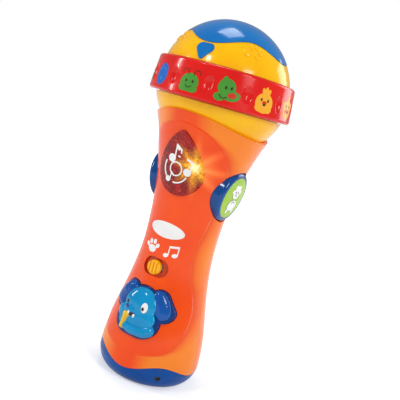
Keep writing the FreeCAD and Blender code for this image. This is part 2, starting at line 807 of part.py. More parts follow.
def make_head_dome():
    low_z = RING_HIGH_Z + RUN_GAP
    floor_r = DOME_R - CAP_THICK
    outer = head_sphere(DOME_R).common(slab(low_z, ABOVE))
    hollow = head_sphere(floor_r - HEAD_WALL).common(slab(0, ABOVE))
    dome = outer.cut(hollow)
    spigot_r = TRACK_R - TRACK_WALL - SEAT_GAP
    spigot = rod_z(spigot_r, 0, 0, low_z - SPIGOT_DEPTH, low_z + HEAD_WALL)
    spigot = spigot.cut(rod_z(spigot_r - TRACK_WALL, 0, 0, 0, ABOVE))
    dome = dome.fuse(spigot)
    solid_inner = head_sphere(floor_r - HEAD_WALL + EPS)
    for x, y in head_post_places():
        boss = rod_z(HEAD_POST_R, x, y, RING_HIGH_Z - 2 + SEAT_GAP, ABOVE).common(solid_inner)
        pilot = rod_z(SCREW_R + SCREW_GAP, x, y, 0, HEAD_SCREW_SEAT_Z + HEAD_SCREW_REACH + 1)
        dome = dome.fuse(boss).cut(pilot)
    rim = wave_body(CAP_WAVE_Z - EDGE_GAP, CAP_WAVE_SWING, ABOVE, CAP_PEG_RING_R + 3)
    recess = head_sphere(DOME_R + 2).cut(head_sphere(floor_r)).common(rim)
    dome = dome.cut(recess)
    for side in (-1, 1):
        pocket = head_sphere(DOME_R + 2).cut(head_sphere(floor_r)).common(drop_prism(0, side))
        dome = dome.cut(pocket)
    for x, y in cap_peg_places():
        dome = dome.cut(rod_z(CAP_PEG_R + SEAT_GAP, x, y, HEAD_Z, ABOVE))
    return dome.removeSplitter()


def make_head_cap():
    inner_r = DOME_R - CAP_THICK + SEAT_GAP
    rim = wave_body(CAP_WAVE_Z, CAP_WAVE_SWING, ABOVE, CAP_PEG_RING_R + 3)
    cap = head_sphere(DOME_R + CAP_RAISE).cut(head_sphere(inner_r)).common(rim)
    for x, y in cap_peg_places():
        seat_z = HEAD_Z + math.sqrt(inner_r ** 2 - CAP_PEG_RING_R ** 2)
        peg = rod_z(CAP_PEG_R, x, y, seat_z - CAP_PEG_LENGTH, seat_z + 0.8)
        cap = cap.fuse(peg)
    return cap.removeSplitter()


def make_head_screws():
    screws = []
    for x, y in head_post_places():
        head = rod_z(SCREW_HEAD_R, x, y, HEAD_SCREW_SEAT_Z - SCREW_HEAD_THICK, HEAD_SCREW_SEAT_Z - EPS)
        shank = rod_z(SCREW_R, x, y, HEAD_SCREW_SEAT_Z - EPS, HEAD_SCREW_SEAT_Z + HEAD_SCREW_REACH)
        socket = rod_z(SCREW_SOCKET_R, x, y, 0, HEAD_SCREW_SEAT_Z - SCREW_HEAD_THICK + SCREW_SOCKET)
        screws.append(head.fuse(shank).cut(socket))
    return Part.makeCompound(screws)


def make_roller_ring():
    inner_r = TRACK_R + RUN_GAP
    points = [
        Vector(inner_r, 0, RING_LOW_Z),
        Vector(RING_LOW_R, 0, RING_LOW_Z),
        Vector(RING_HIGH_R, 0, RING_HIGH_Z),
        Vector(inner_r, 0, RING_HIGH_Z),
    ]
    face = Part.Face(Part.makePolygon(points + points[:1]))
    ring = face.revolve(Vector(), Z_AXIS, 360)
    outside = [e for e in ring.Edges if len(e.Vertexes) == 1 and e.BoundBox.XMax > inner_r + 1]
    ring = ring.makeFillet(RING_ROUND, outside)
    middle = (RING_LOW_Z + RING_HIGH_Z) / 2
    face_r = (RING_LOW_R + RING_HIGH_R) / 2
    spindle_x = face_r - SCOOP_DEPTH + SCOOP_R
    low = Vector(spindle_x, 0, middle - SCOOP_HALF_HEIGHT)
    high = Vector(spindle_x, 0, middle + SCOOP_HALF_HEIGHT)
    belly = Vector(spindle_x - SCOOP_R, 0, middle)
    edges = [Part.Arc(low, belly, high).toShape(), Part.makeLine(high, low)]
    spindle = Part.Face(Part.Wire(edges)).revolve(low, Z_AXIS, 360)
    notch = rod_z(NOTCH_R, inner_r - NOTCH_R + NOTCH_DEPTH, 0, 0, ABOVE)
    for k in range(PICTURES):
        scoop = spindle.copy()
        scoop.rotate(Vector(), Z_AXIS, 360 / PICTURES * (k + 0.5))
        groove = notch.copy()
        groove.rotate(Vector(), Z_AXIS, 360 / PICTURES * k)
        ring = ring.cut(scoop).cut(groove)
    return ring


def make_ring_click_spring():
    """A bent leaf in the track's window, its nose just short of the ring's notches."""
    middle = (RING_LOW_Z + RING_HIGH_Z) / 2
    half_height = CLICK_WINDOW_HEIGHT / 2 - SLIDE_GAP
    half_width = CLICK_WINDOW_WIDTH / 2 - SLIDE_GAP
    back_y = TRACK_R - TRACK_WALL - CLICK_THICK
    leaf = box(-half_width, half_width, back_y, back_y + CLICK_THICK, -half_height, half_height)
    leaf.translate(Vector(0, 0, middle))
    nose_r = NOTCH_R - SEAT_GAP
    nose = rod_z(nose_r, 0, back_y + nose_r, middle - half_height, middle + half_height)
    return leaf.fuse(nose).removeSplitter()


def make_ring_sensor_board():
    middle = (RING_LOW_Z + RING_HIGH_Z) / 2
    y1 = TRACK_R - TRACK_WALL - CLICK_THICK - SEAT_GAP
    y0 = y1 - BOARD_THICK
    return box(-SENSOR_HALF_WIDTH, SENSOR_HALF_WIDTH, y0, y1, middle - SENSOR_LOW, middle + SENSOR_HIGH)


# ---------------------------------------------------------------- lens and light
def make_lens():
    """A domed window with a rim that reaches back to a flange behind the shell's wall."""
    back = handle_solid(-WALL - SEAT_GAP - LENS_FLANGE_THICK)
    flange = lens_prism(LENS_FLANGE, -FAR, -10).common(handle_solid(-WALL - SEAT_GAP))
    body = lens_prism(0, -FAR, -10).common(handle_solid(LENS_RISE)).fuse(flange)
    hollow = lens_prism(-LENS_THICK, -FAR, -10).common(handle_solid(LENS_RISE - LENS_THICK))
    return body.cut(back).cut(hollow).removeSplitter()


def make_light_box():
    """A white reflector tube from the circuit board to the back of the lens."""
    front = handle_solid(-WALL - LENS_FLANGE_THICK - 2 * SEAT_GAP)
    tube_y = BOARD_Y - BOARD_THICK - SEAT_GAP
    top_z = LENS_BELLY_Z + LIGHT_BOX_RISE
    inner_r = LIGHT_BOX_R - LIGHT_BOX_WALL
    outer = capsule(0, LENS_BELLY_Z, 0, top_z, LIGHT_BOX_R, -FAR, tube_y)
    inner = capsule(0, LENS_BELLY_Z, 0, top_z, inner_r, -FAR - 1, tube_y + 1)
    return outer.cut(inner).common(front)


def make_led():
    back = BOARD_Y - BOARD_THICK - SEAT_GAP
    stem = rod_y(LED_R, LED_X, LED_Z, back - LED_LENGTH, back)
    dome = Part.makeSphere(LED_R, Vector(LED_X, back - LED_LENGTH, LED_Z))
    return stem.fuse(dome).removeSplitter()


# ---------------------------------------------------------------- boards and what is on them
def make_main_board():
    half = BOARD_HALF_WIDTH
    board = box(-half, half, BOARD_Y - BOARD_THICK, BOARD_Y, BOARD_LOW_Z, BOARD_HIGH_Z)
    for z in BOARD_SCREW_ZS:
        board = board.cut(rod_y(BOARD_SCREW_R + SCREW_GAP, 0, z, -FAR, 0))
    return board


def make_board_screws():
    screws = []
    for z in BOARD_SCREW_ZS:
        head = rod_y(BOARD_SCREW_HEAD_R, 0, z, BOARD_Y + EPS, BOARD_Y + BOARD_SCREW_HEAD)
        tip_y = BOARD_Y - BOARD_THICK - BOARD_SCREW_REACH
        shank = rod_y(BOARD_SCREW_R, 0, z, tip_y, BOARD_Y + EPS)
        screws.append(head.fuse(shank))
    return Part.makeCompound(screws)


def make_sound_chip():
    """The glob of resin over the bonded sound chip."""
    blob = Part.makeSphere(CHIP_BLOB_R, Vector(0, BOARD_Y + EPS - CHIP_BLOB_SINK, CHIP_Z))
    return blob.common(box(-FAR, FAR, BOARD_Y + EPS, FAR, 0, ABOVE))


def make_slide_switch():
    front = switch_front_y()
    back = BOARD_Y - BOARD_THICK - SEAT_GAP
    body = box(-SWITCH_HALF_WIDTH, SWITCH_HALF_WIDTH, front, back, -SWITCH_HALF_HEIGHT, SWITCH_HALF_HEIGHT)
    reach = PEG_HALF + KNOB_TRAVEL + SLIDE_GAP
    floor = front + SWITCH_GROOVE_DEPTH
    body = body.cut(box(-reach, reach, front - 1, floor, -SWITCH_GROOVE_HALF, SWITCH_GROOVE_HALF))
    body.translate(Vector(SWITCH_X, 0, SWITCH_Z))
    return body


def switch_front_y():
    return BOARD_Y - BOARD_THICK - SWITCH_BODY


def slider_plate_y():
    """The slider plate's front, clear of the curved wall over the knob's whole travel."""
    reach = SLIDER_HALF_WIDTH + KNOB_TRAVEL + SLIDE_GAP
    low_r = handle_radius(SWITCH_Z - SLIDER_HALF_HEIGHT)
    high_r = handle_radius(SWITCH_Z + SLIDER_HALF_HEIGHT)
    inner_r = min(low_r, high_r) - WALL
    return SLIDE_GAP - math.sqrt(inner_r ** 2 - reach ** 2)


def knob_back_y():
    """The knob's flat underside, clear of the sloping recess floor at its lower edge."""
    return -(handle_radius(SWITCH_Z - KNOB_R) + PANEL_RISE - RECESS_DEPTH + SLIDE_GAP)


def make_mode_knob():
    surface = switch_surface_y()
    back = knob_back_y()
    front = surface - KNOB_RISE
    knob = rod_y(KNOB_R, SWITCH_X, SWITCH_Z, front, back)
    rim = [e for e in knob.Edges if e.BoundBox.YMax < front + EPS]
    knob = knob.makeFillet(KNOB_ROUND, rim)
    for k in range(KNOB_RIBS):
        x = SWITCH_X + (k - (KNOB_RIBS - 1) / 2) * RIB_PITCH
        floor_y = front + RIB_DEPTH
        groove = box(-RIB_HALF_WIDTH, RIB_HALF_WIDTH, front - 1, floor_y, -RIB_HALF_HEIGHT, RIB_HALF_HEIGHT)
        groove.translate(Vector(x, 0, SWITCH_Z))
        knob = knob.cut(groove)
    half_x = STEM_HALF_WIDTH + SEAT_GAP
    half_z = STEM_HALF_HEIGHT + SEAT_GAP
    socket = box(-half_x, half_x, back - STEM_IN_KNOB - SEAT_GAP, back + 1, -half_z, half_z)
    socket.translate(Vector(SWITCH_X, 0, SWITCH_Z))
    return knob.cut(socket)


def make_mode_slider():
    """The hidden slider: a plate behind the slot, a stem into the knob and a peg into the switch."""
    plate_y = slider_plate_y()
    plate_back = plate_y + SLIDER_THICK
    half_x = SLIDER_HALF_WIDTH
    half_z = SLIDER_HALF_HEIGHT
    plate = box(-half_x, half_x, plate_y, plate_back, -half_z, half_z)
    stem_front = knob_back_y() - STEM_IN_KNOB
    half_x = STEM_HALF_WIDTH
    half_z = STEM_HALF_HEIGHT
    stem = box(-half_x, half_x, stem_front, plate_y + EPS, -half_z, half_z)
    peg = box(-PEG_HALF, PEG_HALF, plate_back - EPS, switch_front_y() + PEG_IN_SWITCH, -PEG_HALF, PEG_HALF)
    slider = fuse_all([plate, stem, peg])
    slider.translate(Vector(SWITCH_X, 0, SWITCH_Z))
    return slider


# ---------------------------------------------------------------- puppy button
def ear_prism(side, grow, y0, y1):
    top = (side * PUPPY_EAR_TOP_OUT, PUPPY_Z + PUPPY_EAR_TOP_UP)
    tip = (side * PUPPY_EAR_TIP_OUT, PUPPY_Z + PUPPY_EAR_TIP_UP)
    return capsule(top[0], top[1], tip[0], tip[1], PUPPY_EAR_R + grow, y0, y1)


def face_prism(grow, y0, y1):
    head = rod_y(PUPPY_HEAD_R + grow, 0, PUPPY_Z + PUPPY_HEAD_UP, y0, y1)
    cheeks_z = PUPPY_Z - PUPPY_CHEEK_DOWN
    cheeks = capsule(-PUPPY_CHEEK_OUT, cheeks_z, PUPPY_CHEEK_OUT, cheeks_z, PUPPY_CHEEK_R + grow, y0, y1)
    return head.fuse(cheeks)


def puppy_outline(grow, y0, y1):
    parts = [face_prism(grow, y0, y1), ear_prism(1, grow, y0, y1), ear_prism(-1, grow, y0, y1)]
    return fuse_all(parts)


def toy_mic_prism(grow, y0, y1):
    return capsule(-6.6, PUPPY_Z - 12.8, -5.6, PUPPY_Z - 5.8, 2.2 + grow, y0, y1)


def make_puppy_button():
    """The dark carrier: skirt through the shell, tabs behind it and a plunger to the pad."""
    top = handle_solid(PUPPY_BASE_RISE)
    skirt = puppy_outline(0, -FAR, PUPPY_INNER_Y).common(top)
    roof = handle_solid(PUPPY_BASE_RISE - PUPPY_TOP_WALL)
    hollow = puppy_outline(-PUPPY_SKIRT_WALL, -FAR, 0).common(roof)
    skirt = skirt.cut(hollow)
    low_z = PUPPY_Z - PUPPY_TAB_FOOT
    high_z = PUPPY_Z + PUPPY_TAB_TOP
    tabs = box(-PUPPY_TAB_HALF, PUPPY_TAB_HALF, -FAR, PUPPY_TAB_Y, low_z, high_z)
    tabs = tabs.cut(box(-FAR, FAR, -FAR, 0, low_z + PUPPY_TAB_INSET, high_z - PUPPY_TAB_INSET))
    inner = handle_solid(-WALL - SLIDE_GAP)
    tabs = tabs.common(inner).cut(handle_solid(-WALL - SLIDE_GAP - PUPPY_FLANGE))
    plunger_end = PUPPY_INNER_Y + PUPPY_PLUNGER
    plunger = rod_y(PUPPY_PLUNGER_R, 0, PUPPY_Z, -handle_radius(PUPPY_Z), plunger_end)
    return fuse_all([skirt, tabs, plunger])


def puppy_layer(shape):
    """What stands on the carrier, up to the button's full rise."""
    return shape.common(handle_solid(PUPPY_RISE)).cut(handle_solid(PUPPY_BASE_RISE + SEAT_GAP))


def make_puppy_face():
    face = face_prism(-PUPPY_STEP, -FAR, -10)
    for side in (1, -1):
        face = face.cut(ear_prism(side, SEAT_GAP - PUPPY_STEP, -FAR, -10))
    face = face.cut(toy_mic_prism(SEAT_GAP, -FAR, -10))
    return puppy_layer(face)


def make_puppy_ears():
    ears = [puppy_layer(ear_prism(side, -PUPPY_STEP, -FAR, -10)) for side in (1, -1)]
    return Part.makeCompound(ears)


def make_puppy_toy_mic():
    return puppy_layer(toy_mic_prism(0, -FAR, -10))


def make_puppy_pad():
    """The rubber contact pad on the board, clear of the plunger at full travel."""
    back = BOARD_Y - BOARD_THICK - SEAT_GAP
    front = PUPPY_INNER_Y + PUPPY_PLUNGER + PUPPY_TRAVEL + SLIDE_GAP
    return rod_y(PAD_R, 0, PUPPY_Z, front, back)


# ---------------------------------------------------------------- side buttons
def make_side_button(side):
    back = BUTTON_FACE - BUTTON_DEPTH
    cap = disc_x(BUTTON_R, back, BUTTON_FACE)
    rim = [e for e in cap.Edges if e.BoundBox.XMin > BUTTON_FACE - EPS]
    cap = cap.makeFillet(BUTTON_ROUND, rim)
    cap = cap.cut(disc_x(BUTTON_R - BUTTON_WALL, back - 1, BUTTON_FACE - BUTTON_ROOF))
    cap = cap.cut(disc_x(DISC_R + SEAT_GAP, BUTTON_FACE - DISC_SINK, FAR))
    reach = BUTTON_R + TAB_REACH
    tabs = box(back, back + TAB_THICK, -TAB_HALF_WIDTH, TAB_HALF_WIDTH, -reach, reach)
    tabs.translate(Vector(0, 0, BUTTON_Z))
    tabs = tabs.cut(disc_x(BUTTON_R - BUTTON_WALL, back - 1, FAR))
    plunger = disc_x(BUTTON_PLUNGER_R, back, BUTTON_FACE - BUTTON_ROOF + 2 * EPS)
    return lean_button(fuse_all([cap, tabs, plunger]), side)


def make_button_disc(side):
    """The printed lime disc: a shallow dome let into the button's face."""
    seat = BUTTON_FACE - DISC_SINK + EPS
    height = DISC_SINK + DISC_RISE - EPS
    dome_r = (DISC_R ** 2 + DISC_RISE ** 2) / (2 * DISC_RISE)
    ball = Part.makeSphere(dome_r, Vector(seat + height - dome_r, 0, BUTTON_Z))
    disc = disc_x(DISC_R, seat, seat + height + 1).common(ball)
    return lean_button(disc, side)


def make_button_pad(side):
    back = BUTTON_FACE - BUTTON_DEPTH
    front = back - BUTTON_TRAVEL - SLIDE_GAP
    foot = SIDE_BOARD_X + SIDE_BOARD_THICK + SEAT_GAP
    return lean_button(disc_x(PAD_R, foot, front), side)


def make_side_board(side):
    half_y = SIDE_BOARD_HALF_WIDTH
    half_z = SIDE_BOARD_HALF_HEIGHT
    board = box(0, SIDE_BOARD_THICK, -half_y, half_y, -half_z, half_z)
    board.translate(Vector(SIDE_BOARD_X, 0, BUTTON_Z))
    return lean_button(board, side)


# ---------------------------------------------------------------- speaker
def make_speaker():
    y1 = SPEAKER_Y + SPEAKER_DEPTH
    rim = rod_y(SPEAKER_R, 0, SPEAKER_Z, y1 - SPEAKER_RIM, y1)
    basket_y = y1 - SPEAKER_RIM - SPEAKER_BASKET
    basket_r = SPEAKER_R - SPEAKER_RIM_WIDTH
    basket = Part.makeCone(MAGNET_R, basket_r, SPEAKER_BASKET, Vector(0, basket_y, SPEAKER_Z), Y_AXIS)
    magnet = rod_y(MAGNET_R, 0, SPEAKER_Z, SPEAKER_Y, basket_y)
    cone_mouth = SPEAKER_R - 2 * SPEAKER_RIM_WIDTH
    cone = Part.makeCone(CONE_R, cone_mouth, CONE_DEPTH, Vector(0, y1 - CONE_DEPTH, SPEAKER_Z), Y_AXIS)
    return fuse_all([magnet, basket, rim]).cut(cone)


def make_speaker_bracket():
    """A retaining plate behind the speaker's rim."""
    y1 = SPEAKER_Y + SPEAKER_DEPTH - SPEAKER_RIM - SEAT_GAP
    plate = rod_y(SPEAKER_R + BRACKET_EDGE, 0, SPEAKER_Z, y1 - BRACKET_THICK, y1)
    hole = rod_y(SPEAKER_R - SPEAKER_RIM_WIDTH + SEAT_GAP, 0, SPEAKER_Z, 0, FAR)
    return plate.cut(hole)


# ---------------------------------------------------------------- batteries
def cell_places():
    return [(CELL_X, CELL_Y), (-CELL_X, CELL_Y)]


def cell_high_z():
    return CELL_LOW_Z + CELL_LENGTH


def make_battery_tray():
    half = CELL_X + CELL_R + TRAY_SIDE_GAP
    y0 = CELL_Y - CELL_R - TRAY_SIDE_GAP
    z0 = tray_low_z() + TRAY_WALL
    z1 = tray_high_z() - TRAY_WALL
    outer = box(-half - TRAY_WALL, half + TRAY_WALL, y0 - TRAY_WALL, TRAY_RIM_Y, tray_low_z(), tray_high_z())
    inner = box(-half, half, y0, FAR, z0, z1)
    rib = box(-0.3, 0.3, y0 - EPS, CELL_Y - 4.5, z0 + 4, z1 - 4)
    boss_y = door_screw_seat() - DOOR_BOSS_DROP
    boss = rod_y(DOOR_SCREW_BOSS_R, 0, door_screw_z(), y0 - TRAY_WALL, boss_y)
    tray = outer.cut(inner).fuse(rib)
    tray = tray.fuse(boss.cut(box(-FAR, FAR, 0, FAR, 0, z1)))
    return tray.cut(rod_y(SCREW_R + SCREW_GAP, 0, door_screw_z(), y0 + 1, FAR)).removeSplitter()


def door_screw_seat():
    return handle_radius(door_screw_z()) - DOOR_THICK


def make_batteries():
    cells = []
    for (x, y), up in zip(cell_places(), (1, -1)):
        can = rod_z(CELL_R, x, y, CELL_LOW_Z + CELL_CAP, cell_high_z() - CELL_CAP)
        top_z = cell_high_z() - CELL_CAP - EPS
        nib_z = top_z if up > 0 else CELL_LOW_Z
        flat_z = CELL_LOW_Z + CELL_CAP - CELL_FLAT if up > 0 else top_z
        nib = rod_z(CELL_NIB_R, x, y, nib_z, nib_z + CELL_CAP + EPS)
        flat = rod_z(CELL_FLAT_R, x, y, flat_z, flat_z + CELL_FLAT + EPS)
        cells.append(fuse_all([can, nib, flat]))
    return Part.makeCompound(cells)


def make_battery_contacts():
    """Sprung plates below the cells and one linking plate above them."""
    plates = []
    low = CELL_LOW_Z - CONTACT_ROOM + SEAT_GAP
    for x, y in cell_places():
        plate = box(-CONTACT_HALF, CONTACT_HALF, -CONTACT_HALF, CONTACT_REAR, low, low + CONTACT_THICK)
        plate.translate(Vector(x, y, 0))
        coil = rod_z(CONTACT_COIL_R, x, y, low + EPS, CELL_LOW_Z - SEAT_GAP)
        coil = coil.cut(rod_z(CONTACT_COIL_BORE, x, y, low + CONTACT_THICK, CELL_LOW_Z))
        plates.append(plate.fuse(coil))
    high = cell_high_z() + CONTACT_ROOM - SEAT_GAP
    half = CELL_X + CONTACT_HALF
    link = box(-half, half, CELL_Y - CONTACT_HALF, CELL_Y + CONTACT_REAR, high - CONTACT_THICK, high)
    for x, y in cell_places():
        link = link.fuse(rod_z(CONTACT_BUMP_R, x, y, cell_high_z() + SEAT_GAP, high))
    plates.append(link)
    return Part.makeCompound(plates)


def make_battery_door():
    wall = HANDLE.cut(handle_solid(-DOOR_THICK))
    door = wall.common(door_prism(0, 4, FAR))
    seat = door_screw_seat() + DOOR_SCREW_SINK
    door = door.cut(rod_y(SCREW_R + SCREW_GAP, 0, door_screw_z(), 0, FAR))
    door = door.cut(rod_y(DOOR_SCREW_HEAD_R + SCREW_GAP, 0, door_screw_z(), seat, FAR))
    for row in range(GRIP_RIDGES):
        z = tray_low_z() + GRIP_RIDGE_UP + row * GRIP_RIDGE_PITCH
        floor_y = handle_radius(z) - GRIP_RIDGE_DEPTH
        door = door.cut(capsule(-GRIP_RIDGE_HALF, z, GRIP_RIDGE_HALF, z, GRIP_RIDGE_R, floor_y, FAR))
    return door


def make_door_screw():
    seat = door_screw_seat() + DOOR_SCREW_SINK + SEAT_GAP / 2
    head = rod_y(DOOR_SCREW_HEAD_R, 0, door_screw_z(), seat, seat + DOOR_SCREW_HEAD)
    shank = rod_y(SCREW_R, 0, door_screw_z(), seat - DOOR_SCREW_LENGTH, seat + EPS)
    floor_y = seat + DOOR_SLOT_DEPTH
    across = box(-DOOR_SLOT_HALF, DOOR_SLOT_HALF, floor_y, FAR, -DOOR_SLOT_HALF_WIDTH, DOOR_SLOT_HALF_WIDTH)
    upright = box(-DOOR_SLOT_HALF_WIDTH, DOOR_SLOT_HALF_WIDTH, floor_y, FAR, -DOOR_SLOT_HALF, DOOR_SLOT_HALF)
    cross = across.fuse(upright)
    cross.translate(Vector(0, 0, door_screw_z()))
    return head.fuse(shank).cut(cross)


NODES = {
    "base_cap": make_base_cap,
    "base_screws": make_base_screws,
    "front_shell": make_front_shell,
    "rear_shell": make_rear_shell,
    "case_screws": make_case_screws,
    "head_bowl": make_head_bowl,
    "head_dome": make_head_dome,
    "head_cap": make_head_cap,
    "head_drops": make_head_drops,
    "head_screws": make_head_screws,
    "roller_ring": make_roller_ring,
    "ring_click_spring": make_ring_click_spring,
    "ring_sensor_board": make_ring_sensor_board,
    "lens": make_lens,
    "light_box": make_light_box,
    "led": make_led,
    "main_board": make_main_board,
    "board_screws": make_board_screws,
    "sound_chip": make_sound_chip,
    "slide_switch": make_slide_switch,
    "mode_knob": make_mode_knob,
    "mode_slider": make_mode_slider,
    "puppy_button": make_puppy_button,
    "puppy_face": make_puppy_face,
    "puppy_ears": make_puppy_ears,
    "puppy_toy_mic": make_puppy_toy_mic,
    "puppy_pad": make_puppy_pad,
    "right_button": lambda: make_side_button(1),
    "right_button_disc": lambda: make_button_disc(1),
    "right_button_pad": lambda: make_button_pad(1),
    "right_switch_board": lambda: make_side_board(1),
    "left_button": lambda: make_side_button(-1),
    "left_button_disc": lambda: make_button_disc(-1),
    "left_button_pad": lambda: make_button_pad(-1),
    "left_switch_board": lambda: make_side_board(-1),
    "speaker": make_speaker,
    "speaker_bracket": make_speaker_bracket,
    "battery_tray": make_battery_tray,
    "batteries": make_batteries,
    "battery_contacts": make_battery_contacts,
    "battery_door": make_battery_door,
    "door_screw": make_door_screw,
}

os.makedirs("parts", exist_ok=True)
for name, make in NODES.items():
    shape = make()
    print(name, "solids", len(shape.Solids), "volume", round(shape.Volume, 1), "valid", shape.isValid())
    shape.exportStep("parts/" + name + ".step")
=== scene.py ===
import math

import bpy
from mathutils import Matrix, Vector


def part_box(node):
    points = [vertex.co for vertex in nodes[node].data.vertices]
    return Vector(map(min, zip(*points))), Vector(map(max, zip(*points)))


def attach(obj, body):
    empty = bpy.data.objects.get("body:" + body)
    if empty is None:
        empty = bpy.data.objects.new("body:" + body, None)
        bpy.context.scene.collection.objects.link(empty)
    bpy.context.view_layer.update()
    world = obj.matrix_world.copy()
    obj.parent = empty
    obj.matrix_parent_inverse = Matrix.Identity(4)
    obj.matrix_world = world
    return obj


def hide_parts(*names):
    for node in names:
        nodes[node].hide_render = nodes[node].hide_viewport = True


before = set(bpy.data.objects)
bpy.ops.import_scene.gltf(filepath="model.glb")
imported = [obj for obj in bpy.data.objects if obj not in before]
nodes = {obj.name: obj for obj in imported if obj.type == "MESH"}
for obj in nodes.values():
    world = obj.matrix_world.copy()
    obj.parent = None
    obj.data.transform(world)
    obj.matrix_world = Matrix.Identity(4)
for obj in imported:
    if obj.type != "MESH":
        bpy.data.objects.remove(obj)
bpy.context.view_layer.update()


# ---------------------------------------------------------------- front half of the case
# The front half of the handle, an ABS moulding about 2 mm thick in bright orange with a raised panel
# down its middle. Polished tool, so the skin is glossy, with faint orange peel and handling smudges.
def srgb(red, green, blue):
    """A colour in ordinary 0 to 255 steps, as the shader wants it."""
    channels = [step / 255 for step in (red, green, blue)]
    return [c / 12.92 if c <= 0.04045 else ((c + 0.055) / 1.055) ** 2.4 for c in channels] + [1.0]


def node(tree, kind, inputs=None, **settings):
    """One shader node, its settings, and what feeds each of its inputs."""
    made = tree.nodes.new(kind)
    for key, value in settings.items():
        setattr(made, key, value)
    for key, value in (inputs or {}).items():
        socket = made.inputs[key]
        if isinstance(value, bpy.types.NodeSocket):
            tree.links.new(value, socket)
        else:
            socket.default_value = value
    return made


def maths(tree, operation, first, second=0.0):
    """One step of arithmetic on shader values."""
    return node(tree, "ShaderNodeMath", {0: first, 1: second}, operation=operation).outputs[0]


def remap(tree, value, low, high, to_low, to_high):
    """Stretches a range of a value on to another and holds it inside."""
    inputs = {"Value": value, "From Min": low, "From Max": high, "To Min": to_low, "To Max": to_high}
    return node(tree, "ShaderNodeMapRange", inputs).outputs["Result"]


def blended(tree, factor, first, second):
    """The first colour turning into the second as the factor goes from 0 to 1."""
    return node(tree, "ShaderNodeMix", {0: factor, 6: first, 7: second}, data_type="RGBA").outputs[2]


def noise(tree, place, scale, detail=2.0, distortion=0.0):
    """Soft clouds; the scale is in waves to the metre."""
    inputs = {"Vector": place, "Scale": scale, "Detail": detail, "Distortion": distortion}
    return node(tree, "ShaderNodeTexNoise", inputs).outputs[0]


def new_group(name, inputs, outputs):
    """An empty node group with its named sockets, and its two end nodes."""
    group = bpy.data.node_groups.new(name, "ShaderNodeTree")
    for label, kind in inputs:
        group.interface.new_socket(label, in_out="INPUT", socket_type="NodeSocket" + kind)
    for label, kind in outputs:
        group.interface.new_socket(label, in_out="OUTPUT", socket_type="NodeSocket" + kind)
    return group, group.nodes.new("NodeGroupInput"), group.nodes.new("NodeGroupOutput")


SKIN_CLOUDS = 38.0
SKIN_SMUDGES = 95.0
SKIN_HAIRLINES = 240.0
SKIN_PEEL = 330.0
SKIN_GRAIN = 3200.0
HAIRLINE_ROUGHNESS = 0.25
GRAIN_SHARE = 0.12
PEEL_DEPTH = 0.0006
PLASTIC_SPECULAR = 0.24
PLASTIC_COAT_ROUGHNESS = 0.06

skin_group, skin_in, skin_out = new_group(
    "moulded skin",
    [("Colour", "Color"), ("Deep Colour", "Color"), ("Gloss", "Float"), ("Smudge", "Float")],
    [("Colour", "Color"), ("Roughness", "Float"), ("Height", "Float")],
)
skin_place = node(skin_group, "ShaderNodeTexCoord").outputs["Object"]
skin_clouds = remap(skin_group, noise(skin_group, skin_place, SKIN_CLOUDS, 3.0), 0.35, 0.68, 0.0, 1.0)
skin_colour = blended(skin_group, skin_clouds, skin_in.outputs["Colour"], skin_in.outputs["Deep Colour"])
skin_smudges = remap(skin_group, noise(skin_group, skin_place, SKIN_SMUDGES, 4.0, 0.6), 0.42, 0.75, 0.0, 1.0)
skin_hairs = remap(skin_group, noise(skin_group, skin_place, SKIN_HAIRLINES, 5.0, 2.5), 0.497, 0.503, 0.0, 1.0)
skin_hairs = maths(skin_group, "MULTIPLY", skin_hairs, maths(skin_group, "SUBTRACT", 1.0, skin_hairs))
skin_rough = maths(skin_group, "MULTIPLY", skin_smudges, skin_in.outputs["Smudge"])
skin_rough = maths(skin_group, "ADD", skin_rough, skin_in.outputs["Gloss"])
skin_rough = maths(skin_group, "ADD", skin_rough, maths(skin_group, "MULTIPLY", skin_hairs, HAIRLINE_ROUGHNESS))
skin_peel = noise(skin_group, skin_place, SKIN_PEEL, 1.0)
skin_grain = noise(skin_group, skin_place, SKIN_GRAIN, 1.0)
skin_height = maths(skin_group, "ADD", skin_peel, maths(skin_group, "MULTIPLY", skin_grain, GRAIN_SHARE))
skin_group.links.new(skin_colour, skin_out.inputs["Colour"])
skin_group.links.new(skin_rough, skin_out.inputs["Roughness"])
skin_group.links.new(skin_height, skin_out.inputs["Height"])


def moulded(name, colour, deep, gloss=0.24, smudge=0.08, coat=0.15, peel=0.05):
    """A moulded plastic with its own two close tones, gloss, smudges and orange peel."""
    finish = bpy.data.materials.new(name)
    finish.use_nodes = True
    tree = finish.node_tree
    inputs = {"Colour": colour, "Deep Colour": deep, "Gloss": gloss, "Smudge": smudge}
    skin = node(tree, "ShaderNodeGroup", inputs, node_tree=skin_group)
    height = {"Height": skin.outputs["Height"], "Strength": peel, "Distance": PEEL_DEPTH}
    bump = node(tree, "ShaderNodeBump", height)
    shader = tree.nodes["Principled BSDF"]
    tree.links.new(skin.outputs["Colour"], shader.inputs["Base Color"])
    tree.links.new(skin.outputs["Roughness"], shader.inputs["Roughness"])
    tree.links.new(bump.outputs["Normal"], shader.inputs["Normal"])
    shader.inputs["Specular IOR Level"].default_value = PLASTIC_SPECULAR
    shader.inputs["Coat Weight"].default_value = coat
    shader.inputs["Coat Roughness"].default_value = PLASTIC_COAT_ROUGHNESS
    return finish


def finish_node(name, finish):
    """Gives a CAD node its finish."""
    mesh = nodes[name].data
    mesh.materials.clear()
    mesh.materials.append(finish)


# A painted glow of the lamp behind the window, laid on the window and the orange round it as emission:
# a bright core in a halo with eight soft rays, at the front only.
LAMP_X = 0.0095
LAMP_Z = 0.1349
RAYS_PER_HALF_TURN = 4.0
RAY_SHARPNESS = 4.0
REACH_BETWEEN_RAYS = 0.7
RAY_LENGTH = 0.42
HALO_FALL = 1.8
GLOW_BACK = -0.012
CORE_INNER = 0.0008
CORE_OUTER = 0.0042

